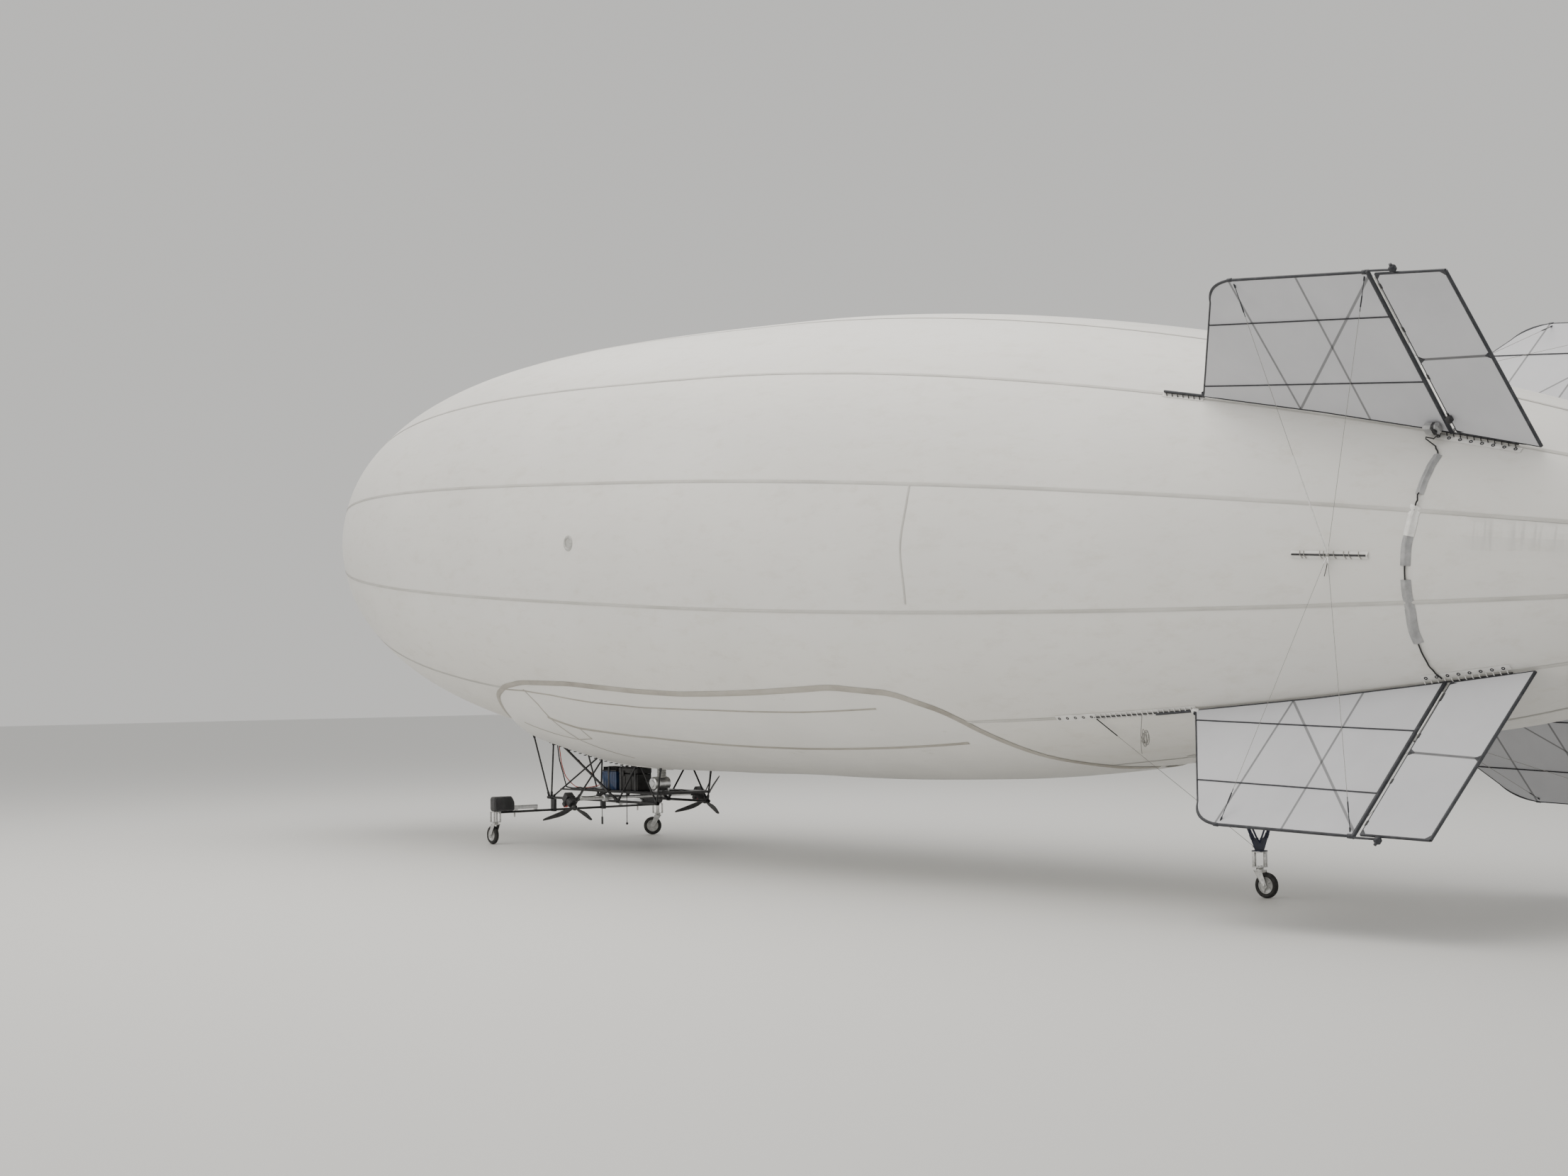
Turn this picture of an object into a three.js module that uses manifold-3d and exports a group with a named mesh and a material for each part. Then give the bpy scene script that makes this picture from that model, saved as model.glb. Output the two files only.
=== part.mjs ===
// A small non-rigid airship parked on three casters: a twelve-gore gas envelope with a fabric
// keel fairing, an open tube gondola with two tilting pusher motors, and four braced tube fins
// set as an X, each with a hinged control surface.
// Millimetres, +Z up, nose to -X, left (port) side to -Y. The origin is on the floor, under the
// middle of the envelope's length.
import * as THREE from "three";
import { mergeVertices } from "three/addons/utils/BufferGeometryUtils.js";
import Module from "manifold-3d";

const wasm = await Module();
wasm.setup();

// Driving dimensions: the envelope
const ENVELOPE_RADIUS = 2027;
const NOSE_LENGTH = 7650;
const TAIL_LENGTH = 10750;
const NOSE_POWER = 3.0;
const NOSE_ROUNDNESS = 2.7;
const TAIL_POWER = 1.93;
const FABRIC_WALL = 10;
const TAIL_RING_RADIUS = 150;
const ENVELOPE_CENTRE_HEIGHT = 2682;
const NOSE_UP_DEGREES = 3.41;
const TILT_SHIFT = 3.4;
const SEGMENTS_ROUND = 36;

// Driving dimensions: the gear, the gondola and the motors
const FRONT_GEAR_X = -5520;
const FRONT_GEAR_Y = 985;
const TAIL_GEAR_X = 3525;
const WHEEL_RADIUS = 93;
const WHEEL_WIDTH = 44;
const CASTER_TRAIL = 55;
const CASTER_TOP = 220;
const OUTRIGGER_HEIGHT = 316.5;
const GONDOLA_FRONT_X = -5900;
const GONDOLA_REAR_X = -3600;
const GONDOLA_HALF_WIDTH = 300;
const CHORD_HEIGHT = 440;
const TRAY_HEIGHT = 545;
const MOTOR_BOOM_X = -4477;
const MOTOR_BOOM_HEIGHT = 473;
const MOTOR_BOOM_END = 665;
const MOTOR_Y = 777;
const MOTOR_TILT_DEGREES = 40;
const PROPELLER_RADIUS = 335;
const PROPELLER_OFFSET = 112;

// Driving dimensions: the fins, along the hull and outwards from its axis
const FIN_TUBE = 12;
const SPAR_TUBE = 15;
const ROOT_CLEARANCE = 26;
const FIN = {
  rootFront: 3990,
  rootRear: 5805,
  leadingTop: [4525, 2300],
  cornerTop: [4790, 2458],
  tipRear: [5845, 2412],
};
const SURFACE = {
  rootFront: 5852,
  tipFront: [5892, 2392],
  tipRear: [6385, 2368],
  rootRear: 6392,
};

const GAP = 0.3;
const TAU = 2 * Math.PI;
const rad = THREE.MathUtils.degToRad;

// Materials
const paint = (color, roughness, metalness = 0) =>
  new THREE.MeshStandardMaterial({ color, roughness, metalness });
const whiteFabric = paint(0xe6e5de, 0.55);
const finFabric = paint(0xc9ccd0, 0.6);
const darkTube = paint(0x3a3c40, 0.45);
const brightMetal = paint(0xb9bcc0, 0.35, 0.9);
const blackPlastic = paint(0x17181a, 0.5);
const blackRubber = paint(0x101010, 0.85);
const bluePaint = paint(0x27456f, 0.5);
const greyTape = paint(0x8c9096, 0.5, 0.2);
const stayWire = paint(0xd8d8d2, 0.5);

// Solids are joined and cut through manifold-3d, and placed as three.js meshes.
function solid(geometry) {
  const bare = geometry.index ? geometry.toNonIndexed() : geometry.clone();
  bare.deleteAttribute("normal");
  bare.deleteAttribute("uv");
  const merged = mergeVertices(bare, 1e-3);
  return new wasm.Manifold(
    new wasm.Mesh({
      numProp: 3,
      vertProperties: merged.attributes.position.array,
      triVerts: new Uint32Array(merged.index.array),
    }),
  );
}

function geometryOf(manifold) {
  const mesh = manifold.getMesh();
  const geometry = new THREE.BufferGeometry();
  const position = new THREE.BufferAttribute(mesh.vertProperties, 3);
  geometry.setAttribute("position", position);
  geometry.setIndex(new THREE.BufferAttribute(mesh.triVerts, 1));
  return geometry;
}

// Joined bars can seal a small pocket between them: the one solid is kept, and the pocket filled.
function filled(manifold) {
  const bodies = manifold.decompose().sort((a, b) => b.volume() - a.volume());
  if (bodies.slice(1).some((body) => body.volume() > 0)) throw new Error("pieces don't meet");
  return bodies[0];
}

const join = (geometries) =>
  geometryOf(filled(geometries.map(solid).reduce((whole, piece) => whole.add(piece))));

const cut = (geometry, cutters) =>
  geometryOf(
    cutters.map(solid).reduce((whole, piece) => whole.subtract(piece), solid(geometry)),
  );

function addMesh(parent, name, geometry, material) {
  const mesh = new THREE.Mesh(geometry, material);
  mesh.name = name;
  parent.add(mesh);
  return mesh;
}

function box(low, high) {
  const size = high.map((value, axis) => value - low[axis]);
  const geometry = new THREE.BoxGeometry(...size);
  const middle = high.map((value, axis) => (value + low[axis]) / 2);
  return geometry.translate(...middle);
}

// A round bar between two points.
function bar(from, to, radius, sides = 6) {
  const start = new THREE.Vector3(...from);
  const end = new THREE.Vector3(...to);
  const along = end.clone().sub(start);
  const geometry = new THREE.CylinderGeometry(radius, radius, along.length(), sides);
  const up = new THREE.Vector3(0, 1, 0);
  geometry.applyQuaternion(
    new THREE.Quaternion().setFromUnitVectors(up, along.clone().normalize()),
  );
  const middle = start.add(end).multiplyScalar(0.5);
  return geometry.translate(middle.x, middle.y, middle.z);
}

// A small ball that rounds off the corner where bars meet.
const knuckle = (place, radius) => new THREE.IcosahedronGeometry(radius, 0).translate(...place);

// A disc or sleeve about an axis parallel to Y.
function disc(centre, radius, width, sides = 24) {
  const geometry = new THREE.CylinderGeometry(radius, radius, width, sides);
  return geometry.translate(...centre);
}

// The envelope's radius at a distance behind the nose: a rounded nose, then a long tail.
function envelopeRadius(behindNose) {
  if (behindNose < NOSE_LENGTH) {
    const ahead = (NOSE_LENGTH - behindNose) / NOSE_LENGTH;
    const fullness = Math.max(0, 1 - ahead ** NOSE_POWER);
    return ENVELOPE_RADIUS * fullness ** (1 / NOSE_ROUNDNESS);
  }
  const aft = (behindNose - NOSE_LENGTH) / TAIL_LENGTH;
  return ENVELOPE_RADIUS * (1 - aft ** TAIL_POWER);
}

const ringPart = (1 - TAIL_RING_RADIUS / ENVELOPE_RADIUS) ** (1 / TAIL_POWER);
const ENVELOPE_LENGTH = NOSE_LENGTH + TAIL_LENGTH * ringPart;
const TAIL_CAP_DEPTH = 78;
const NOSE_X = -(ENVELOPE_LENGTH + TAIL_CAP_DEPTH) / 2;
const radiusAt = (x) => envelopeRadius(x - NOSE_X);

// The skin under the aft half is drawn up a little towards the axis.
// Columns: distance behind the nose, how far the lowest line stands above the round hull.
const BELLY = [
  [6200, 0],
  [8200, 78],
  [10200, 100],
  [12300, 130],
  [13300, 100],
  [15200, 0],
].map(([behindNose, lift]) => ({ behindNose, lift }));

// The skin's radius at x, where down is the angle round the hull from its lowest line.
function skinRadius(x, down) {
  const radius = radiusAt(x);
  const place = BELLY.findIndex((row) => row.behindNose > x - NOSE_X);
  if (place < 1 || Math.abs(down) > Math.PI / 4) return radius;
  const [before, after] = [BELLY[place - 1], BELLY[place]];
  const share = (x - NOSE_X - before.behindNose) / (after.behindNose - before.behindNose);
  const eased = (1 - Math.cos(Math.PI * share)) / 2;
  const lift = before.lift + (after.lift - before.lift) * eased;
  return radius - lift * Math.cos(2 * down) ** 2;
}

// The envelope, in its own frame: its axis is X, and its middle is the origin.
const envelope = new THREE.Group();
envelope.position.set(TILT_SHIFT, 0, ENVELOPE_CENTRE_HEIGHT);
envelope.rotation.y = rad(NOSE_UP_DEGREES);

function turnedAboutX(profile, segments) {
  const points = profile.map(([x, radius]) => new THREE.Vector2(radius, x));
  const geometry = new THREE.LatheGeometry(points, segments);
  return geometry.rotateZ(-Math.PI / 2);
}

function envelopeStations() {
  const stations = [];
  const noseSteps = 12;
  const tailSteps = 15;
  for (let step = 0; step <= noseSteps; step += 1) {
    const turn = (step / noseSteps) * (Math.PI / 2);
    stations.push(NOSE_LENGTH * (1 - Math.cos(turn)) ** 1.6);
  }
  for (let step = 1; step <= tailSteps; step += 1) {
    stations.push(NOSE_LENGTH + (ENVELOPE_LENGTH - NOSE_LENGTH) * (step / tailSteps));
  }
  return stations;
}

function envelopeShell() {
  const outer = envelopeStations().map((s) => [NOSE_X + s, envelopeRadius(s)]);
  const inner = outer
    .slice(1)
    .map(([x, radius]) => [x, radius - FABRIC_WALL])
    .reverse();
  inner.push([NOSE_X + FABRIC_WALL, 0]);
  const shell = turnedAboutX([...outer, ...inner], SEGMENTS_ROUND);
  const points = shell.attributes.position;
  for (let i = 0; i < points.count; i += 1) {
    const [x, y, z] = [points.getX(i), points.getY(i), points.getZ(i)];
    const shrunk = skinRadius(x, Math.atan2(y, -z)) / radiusAt(x);
    if (radiusAt(x) > 0) points.setXYZ(i, x, y * shrunk, z * shrunk);
  }
  return shell;
}

addMesh(envelope, "envelope", envelopeShell(), whiteFabric);

// The tail cap closes the aft ring with a stiff domed disc.
function tailCap() {
  const end = NOSE_X + ENVELOPE_LENGTH + GAP;
  return turnedAboutX(
    [
      [end, 0],
      [end, TAIL_RING_RADIUS],
      [end + 18, TAIL_RING_RADIUS],
      [end + 60, 110],
      [end + TAIL_CAP_DEPTH, 0],
    ],
    24,
  );
}

addMesh(envelope, "tail_cap", tailCap(), whiteFabric);

// The keel fairing: a fabric skin laced on under the front of the envelope.
// Columns: distance behind the nose, half width in degrees round the hull, depth below it.
const FAIRING = [
  [3300, 6, 20],
  [3400, 15, 50],
  [3550, 22, 80],
  [3860, 32, 100],
  [4140, 41, 108],
  [4500, 46, 124],
  [4930, 49, 136],
  [5350, 50, 122],
  [5850, 51, 80],
  [6500, 51, 36],
  [7000, 51, 32],
  [7600, 51.5, 24],
  [8600, 53.5, 8],
  [9700, 56, 6],
  [10350, 54.4, 6],
  [10790, 48.7, 6],
  [11170, 37, 5],
  [11465, 24, 4],
  [11630, 19, 4],
].map(([behindNose, halfWidth, depth]) => ({ behindNose, halfWidth, depth }));
const FAIRING_STEPS = 16;
const FAIRING_LIFT = 27;
const FAIRING_EDGE = 8;

function keelFairing() {
  const positions = [];
  const index = [];
  const point = (station, step, outside) => {
    const share = (step / FAIRING_STEPS) * 2 - 1;
    const turn = rad(station.halfWidth) * share;
    const swell = station.depth * (1 - share ** 4);
    const lift = outside ? FAIRING_LIFT + FAIRING_EDGE + swell : FAIRING_LIFT;
    const x = NOSE_X + station.behindNose;
    const radius = skinRadius(x, turn) + lift;
    return [x, radius * Math.sin(turn), -radius * Math.cos(turn)];
  };
  for (const outside of [true, false]) {
    for (const station of FAIRING) {
      for (let step = 0; step <= FAIRING_STEPS; step += 1) {
        positions.push(...point(station, step, outside));
      }
    }
  }
  const row = FAIRING_STEPS + 1;
  const sheet = FAIRING.length * row;
  const at = (station, step, inside) => (inside ? sheet : 0) + station * row + step;
  const quad = (a, b, c, d) => index.push(a, b, c, a, c, d);
  const last = FAIRING.length - 1;
  for (let i = 0; i < last; i += 1) {
    for (let j = 0; j < FAIRING_STEPS; j += 1) {
      quad(at(i, j, 0), at(i, j + 1, 0), at(i + 1, j + 1, 0), at(i + 1, j, 0));
      quad(at(i, j, 1), at(i + 1, j, 1), at(i + 1, j + 1, 1), at(i, j + 1, 1));
    }
    quad(at(i, 0, 0), at(i + 1, 0, 0), at(i + 1, 0, 1), at(i, 0, 1));
    const end = FAIRING_STEPS;
    quad(at(i, end, 0), at(i, end, 1), at(i + 1, end, 1), at(i + 1, end, 0));
  }
  for (let j = 0; j < FAIRING_STEPS; j += 1) {
    quad(at(0, j, 0), at(0, j, 1), at(0, j + 1, 1), at(0, j + 1, 0));
    quad(at(last, j, 0), at(last, j + 1, 0), at(last, j + 1, 1), at(last, j, 1));
  }
  const geometry = new THREE.BufferGeometry();
  geometry.setAttribute("position", new THREE.Float32BufferAttribute(positions, 3));
  geometry.setIndex(index);
  return geometry;
}

// The fairing is open along its middle where the gondola frame stands in it.
const slot = box(
  [GONDOLA_FRONT_X - 180, -GONDOLA_HALF_WIDTH - 60, -2600],
  [GONDOLA_REAR_X + 160, GONDOLA_HALF_WIDTH + 60, -1000],
);
addMesh(envelope, "keel_fairing", cut(keelFairing(), [slot]), whiteFabric);

// The four fins, each in a frame turned about the hull's axis: X aft, Z outwards.
const FIN_PLACES = [
  ["upper_left", 45],
  ["lower_left", 135],
  ["upper_right", -45],
  ["lower_right", -135],
].map(([name, turn]) => ({ name, turn }));

const rootHeight = (x) => radiusAt(x) + ROOT_CLEARANCE;
const finPoint = ([x, out]) => [x, 0, out];
const finRoot = (x) => [x, 0, rootHeight(x)];
const sparRoot = finRoot(FIN.rootRear);
const sparTip = finPoint(FIN.tipRear);
const onSpar = (out) => {
  const share = (out - sparRoot[2]) / (sparTip[2] - sparRoot[2]);
  return [sparRoot[0] + share * (sparTip[0] - sparRoot[0]), 0, out];
};
const onLeadingEdge = (out) => {
  const foot = finRoot(FIN.rootFront);
  const share = (out - foot[2]) / (FIN.leadingTop[1] - foot[2]);
  return [foot[0] + share * (FIN.leadingTop[0] - foot[0]), 0, out];
};

const FIN_OUTLINE = [
  [FIN.rootFront, rootHeight(FIN.rootFront)],
  [4900, rootHeight(4900)],
  [FIN.rootRear, rootHeight(FIN.rootRear)],
  FIN.tipRear,
  FIN.cornerTop,
  [4620, 2415],
  FIN.leadingTop,
];

// Points that the fin's inner tubes run between: two ribs, two posts and a diagonal.
const FIN_BRACES = [
  [onLeadingEdge(1612), onSpar(1542)],
  [onLeadingEdge(2122), onSpar(2068)],
  [finRoot(4745), finPoint([4775, 2457])],
  [finRoot(5252), finPoint([5305, 2434])],
  [finRoot(4745), onSpar(2385)],
];

// An outline moved inwards by a distance: each side is shifted, and neighbours are met again.
function inset(outline, distance) {
  const sides = outline.map(([x, out], place) => {
    const [nextX, nextOut] = outline[(place + 1) % outline.length];
    const along = new THREE.Vector2(nextX - x, nextOut - out).normalize();
    const inwards = new THREE.Vector2(-along.y, along.x);
    return { start: new THREE.Vector2(x, out).addScaledVector(inwards, distance), along };
  });
  return sides.map((side, place) => {
    const last = sides[(place + sides.length - 1) % sides.length];
    const between = side.start.clone().sub(last.start);
    const share = between.cross(side.along) / last.along.cross(side.along);
    return last.start.clone().addScaledVector(last.along, share).toArray();
  });
}

const shapeOf = (outline) => new THREE.Shape(outline.map(([x, out]) => new THREE.Vector2(x, out)));

function plate(shape, low, high) {
  const geometry = new THREE.ExtrudeGeometry(shape, { depth: high - low, bevelEnabled: false });
  geometry.translate(0, 0, -high);
  return geometry.rotateX(Math.PI / 2);
}

// The tube that runs round an outline, square in section.
function rim(outline, tube) {
  const shape = shapeOf(inset(outline, -tube));
  shape.holes.push(shapeOf(inset(outline, tube).reverse()));
  return plate(shape, -tube, tube);
}

function finFrame() {
  const braces = FIN_BRACES.map(([from, to]) => bar(from, to, FIN_TUBE - 2));
  const spar = bar(
    [sparRoot[0], 0, sparRoot[2] - 12],
    [sparTip[0], 0, sparTip[2] + 14],
    SPAR_TUBE,
  );
  const railFront = bar(finRoot(FIN.rootFront), finRoot(3660), FIN_TUBE - 2);
  return join([rim(FIN_OUTLINE, FIN_TUBE), ...braces, spar, railFront]);
}

// The fin's cloth lies on the face of the tubes, from the root tube to the spar.
function finCover() {
  const cloth = FIN_OUTLINE.map(([x, out]) => [Math.min(x, out > 2000 ? 5825 : 5785), out]);
  return plate(shapeOf(cloth), -FIN_TUBE - 5 - GAP, -FIN_TUBE - GAP);
}

const surfaceRoot = (x) => [x, 0, rootHeight(x) + 8];

function controlSurface() {
  const rootFront = surfaceRoot(SURFACE.rootFront);
  const rootRear = surfaceRoot(SURFACE.rootRear);
  const tipFront = finPoint(SURFACE.tipFront);
  const tipRear = finPoint(SURFACE.tipRear);
  const ribFront = new THREE.Vector3(...rootFront).lerp(new THREE.Vector3(...tipFront), 0.47);
  const ribRear = new THREE.Vector3(...rootRear).lerp(new THREE.Vector3(...tipRear), 0.53);
  const outline = [rootFront, rootRear, tipRear, tipFront].map(([x, , out]) => [x, out]);
  const rib = bar(ribFront.toArray(), ribRear.toArray(), FIN_TUBE - 2);
  return join([rim(outline, FIN_TUBE - 1), rib, plate(shapeOf(outline), -3, 3)]);
}

// The servo that swings the surface is strapped to the face of the fin, over the spar's foot.
function servoBox() {
  const [x, , out] = onSpar(1190);
  const face = -FIN_TUBE - 5 - 2 * GAP;
  const body = box([x - 150, face - 62, out - 42], [x - 24, face, out + 38]);
  const head = new THREE.CylinderGeometry(16, 16, 14, 12).translate(x - 50, face - 68, out);
  return join([body, head]);
}

for (const place of FIN_PLACES) {
  const fin = new THREE.Group();
  fin.rotation.x = rad(place.turn);
  envelope.add(fin);
  addMesh(fin, `fin_frame_${place.name}`, finFrame(), darkTube);
  addMesh(fin, `fin_cover_${place.name}`, finCover(), finFabric);
  addMesh(fin, `control_surface_${place.name}`, controlSurface(), finFabric);
  addMesh(fin, `servo_${place.name}`, servoBox(), greyTape);
}

// A stay set: one anchor strip on the hull, with four wires to the tips of the two fins beside it.
const STAY_X = 5229;
const STAY_STRIP_LENGTH = 520;
const STAY_WIRE = 3;
const STAY_END_GAP = 60;
const STAY_PLACES = [
  ["left", 90],
  ["right", -90],
  ["top", 0],
  ["bottom", 180],
].map(([name, turn]) => ({ name, turn }));

function staySet(turn) {
  const down = rad(180 - turn);
  const front = skinRadius(STAY_X - STAY_STRIP_LENGTH / 2, down);
  const rear = skinRadius(STAY_X + STAY_STRIP_LENGTH / 2, down);
  const strip = box([-STAY_STRIP_LENGTH / 2, -16, 4], [STAY_STRIP_LENGTH / 2, 16, 14]);
  strip.rotateY(Math.atan2(front - rear, STAY_STRIP_LENGTH));
  strip.translate(STAY_X, 0, (front + rear) / 2 + 4);
  const foot = [STAY_X, 0, skinRadius(STAY_X, down) + 14];
  const pieces = [strip, box([STAY_X - 14, -14, foot[2] - 8], [STAY_X + 14, 14, foot[2] + 12])];
  const tips = [
    [4800, 2440],
    [5815, 2396],
  ];
  for (const side of [-1, 1]) {
    for (const [x, out] of tips) {
      const across = (out * side) / Math.SQRT2;
      const tip = new THREE.Vector3(x, across, out / Math.SQRT2);
      const start = new THREE.Vector3(...foot);
      const short = tip.clone().sub(start);
      short.setLength(short.length() - STAY_END_GAP);
      pieces.push(bar(foot, start.clone().add(short).toArray(), STAY_WIRE, 6));
    }
  }
  return join(pieces);
}

for (const place of STAY_PLACES) {
  const side = new THREE.Group();
  side.rotation.x = rad(place.turn);
  envelope.add(side);
  addMesh(side, `stay_set_${place.name}`, staySet(place.turn), stayWire);
}

// The servo cable lies along the hull from the upper fin's foot to the lower one's.
const CABLE_X = 5740;
const CABLE_RADIUS = 5;
const CABLE_SPAN_DEGREES = 37;

function servoCable() {
  const points = [];
  const steps = 12;
  for (let step = 0; step <= steps; step += 1) {
    const turn = rad(CABLE_SPAN_DEGREES * ((2 * step) / steps - 1));
    const out = radiusAt(CABLE_X) + 12;
    const sway = 26 * Math.sin((step / steps) * TAU);
    points.push(new THREE.Vector3(CABLE_X + sway, out * Math.sin(turn), out * Math.cos(turn)));
  }
  const round = new THREE.Shape();
  round.absarc(0, 0, CABLE_RADIUS, 0, TAU);
  return new THREE.ExtrudeGeometry(round, {
    curveSegments: 4,
    steps: 36,
    extrudePath: new THREE.CatmullRomCurve3(points),
    bevelEnabled: false,
  });
}

for (const [name, turn] of [["left", 90], ["right", -90]]) {
  const side = new THREE.Group();
  side.rotation.x = rad(turn);
  envelope.add(side);
  addMesh(side, `servo_cable_${name}`, servoCable(), blackPlastic);
}

// The whole machine
const airship = new THREE.Group();
airship.add(envelope);

// The gondola frame: two lower chords, two upper chords and the diagonals between them.
const CHORD_TUBE = 13;
const BRACE_TUBE = 9;
const envelopeBottom = (x) => {
  const pitch = rad(NOSE_UP_DEGREES);
  const along = x / Math.cos(pitch);
  return ENVELOPE_CENTRE_HEIGHT - along * Math.sin(pitch) - skinRadius(along, 0) / Math.cos(pitch);
};
const UPPER_CHORD_DROP = 70;
const upperChord = (x) => envelopeBottom(x) - UPPER_CHORD_DROP;

// The truss tubes of one side, from the lower chord at one x to the upper chord at another.
const TRUSS = [
  [-5600, GONDOLA_FRONT_X],
  [-5560, -5510],
  [-4345, -5420],
  [-5550, -4600],
  [-5080, -4550],
  [-4345, -3980],
  [-3680, -3980],
  [-3680, GONDOLA_REAR_X],
].map(([lowX, highX]) => ({ lowX, highX }));
const CHORD_STEPS = [GONDOLA_FRONT_X, -5300, -4700, -4100, GONDOLA_REAR_X];

function gondolaSide(side) {
  const y = side * GONDOLA_HALF_WIDTH;
  const low = (x) => [x, y, CHORD_HEIGHT];
  const high = (x) => [x, y, upperChord(x)];
  const tubes = TRUSS.map((bay) => bar(low(bay.lowX), high(bay.highX), BRACE_TUBE));
  tubes.push(bar(low(-5610), low(-3670), CHORD_TUBE));
  for (let step = 1; step < CHORD_STEPS.length; step += 1) {
    tubes.push(bar(high(CHORD_STEPS[step - 1]), high(CHORD_STEPS[step]), CHORD_TUBE));
    tubes.push(knuckle(high(CHORD_STEPS[step]), CHORD_TUBE));
  }
  tubes.push(knuckle(high(GONDOLA_FRONT_X), CHORD_TUBE));
  tubes.push(bar([-5380, y, TRAY_HEIGHT - 14], [-3640, y, TRAY_HEIGHT - 14], BRACE_TUBE));
  return join(tubes);
}

for (const [name, side] of [["left", -1], ["right", 1]]) {
  addMesh(airship, `gondola_side_${name}`, gondolaSide(side), darkTube);
}

// Cross tubes and a floor tray hold the two sides apart.
const TRAY_FRONT_X = -5200;
const TRAY_REAR_X = -3620;

function gondolaTray() {
  const reach = GONDOLA_HALF_WIDTH - BRACE_TUBE - GAP - 0.5;
  const pieces = [
    box([TRAY_FRONT_X, -reach, TRAY_HEIGHT - 8], [TRAY_REAR_X, reach, TRAY_HEIGHT]),
  ];
  for (const x of [-5160, -4800, -3980, -3660]) {
    pieces.push(box([x - 9, -reach, TRAY_HEIGHT - 24], [x + 9, reach, TRAY_HEIGHT - 4]));
  }
  return join(pieces);
}

addMesh(airship, "gondola_tray", gondolaTray(), darkTube);

// Equipment on the tray. Columns: name, low corner, high corner, material.
const TRAY_TOP = TRAY_HEIGHT + GAP;
const EQUIPMENT = [
  ["battery_box", [-4400, -250, TRAY_TOP], [-4080, -80, TRAY_TOP + 225], blackPlastic],
  ["power_unit", [-4700, -250, TRAY_TOP], [-4450, -80, TRAY_TOP + 228], bluePaint],
  ["avionics_box", [-5040, 20, TRAY_TOP], [-4760, 230, TRAY_TOP + 150], brightMetal],
].map(([name, low, high, material]) => ({ name, low, high, material }));

for (const item of EQUIPMENT) {
  addMesh(airship, item.name, box(item.low, item.high), item.material);
}

// The ballonet fan is a short drum lying across the tray on two feet.
function ballonetFan() {
  const drum = disc([-3830, -155, TRAY_TOP + 78], 66, 190, 24);
  const feet = [-230, -100].map((y) =>
    box([-3880, y, TRAY_TOP], [-3780, y + 20, TRAY_TOP + 40]),
  );
  return join([drum, ...feet]);
}

addMesh(airship, "ballonet_fan", ballonetFan(), brightMetal);

// Two antennas hang under the tray's left edge, one with a ball at its foot and one with a blade.
const ANTENNA_Y = -276;
const antennaRod = (x, foot) =>
  bar([x, ANTENNA_Y, foot], [x, ANTENNA_Y, TRAY_HEIGHT - 8 - GAP], 5);

function ballAntenna(x, foot) {
  const ball = new THREE.SphereGeometry(13, 12, 8).translate(x, ANTENNA_Y, foot);
  return join([antennaRod(x, foot), ball]);
}

function bladeAntenna(x, foot) {
  const blade = box([x - 13, ANTENNA_Y - 5, foot], [x + 13, ANTENNA_Y + 5, foot + 75]);
  return join([antennaRod(x, foot + 40), blade]);
}

addMesh(airship, "antenna_rod", ballAntenna(-4225, 216), blackPlastic);
addMesh(airship, "antenna_blade", bladeAntenna(-4663, 203), blackPlastic);

// The outrigger: one tube across the gondola's front, with a pod, a bracket and a caster at each end.
const OUTRIGGER_TUBE = 11.5;
const BRACKET_HALF = 41;
const POD_INNER_Y = 785;
const POD_OUTER_Y = 1020;
const POD_BOTTOM = 328.5;
const POD_TOP = 476;

function outrigger() {
  const reach = FRONT_GEAR_Y - BRACKET_HALF - GAP;
  const tube = bar(
    [FRONT_GEAR_X, -reach, OUTRIGGER_HEIGHT],
    [FRONT_GEAR_X, reach, OUTRIGGER_HEIGHT],
    OUTRIGGER_TUBE,
    12,
  );
  const blocks = [-1, 1].map((side) => {
    const y = side * GONDOLA_HALF_WIDTH;
    return box(
      [FRONT_GEAR_X - 34, y - 14, OUTRIGGER_HEIGHT - 17],
      [FRONT_GEAR_X + 34, y + 14, CHORD_HEIGHT - CHORD_TUBE - GAP - 1],
    );
  });
  return join([tube, ...blocks]);
}

addMesh(airship, "outrigger_tube", outrigger(), darkTube);

// A bright bar lies over the tube inboard of each pod, on two feet.
function outriggerBar(side) {
  const across = (from, to, low, high) =>
    box(
      [FRONT_GEAR_X - 20, Math.min(side * from, side * to), low],
      [FRONT_GEAR_X + 20, Math.max(side * from, side * to), high],
    );
  const tubeTop = OUTRIGGER_HEIGHT + OUTRIGGER_TUBE + GAP;
  return join([
    across(500, POD_INNER_Y - GAP, 341, 379),
    across(505, 530, tubeTop, 345),
    across(735, 765, tubeTop, 345),
  ]);
}

for (const [name, side] of [["left", -1], ["right", 1]]) {
  addMesh(airship, `outrigger_bar_${name}`, outriggerBar(side), brightMetal);
}

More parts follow.
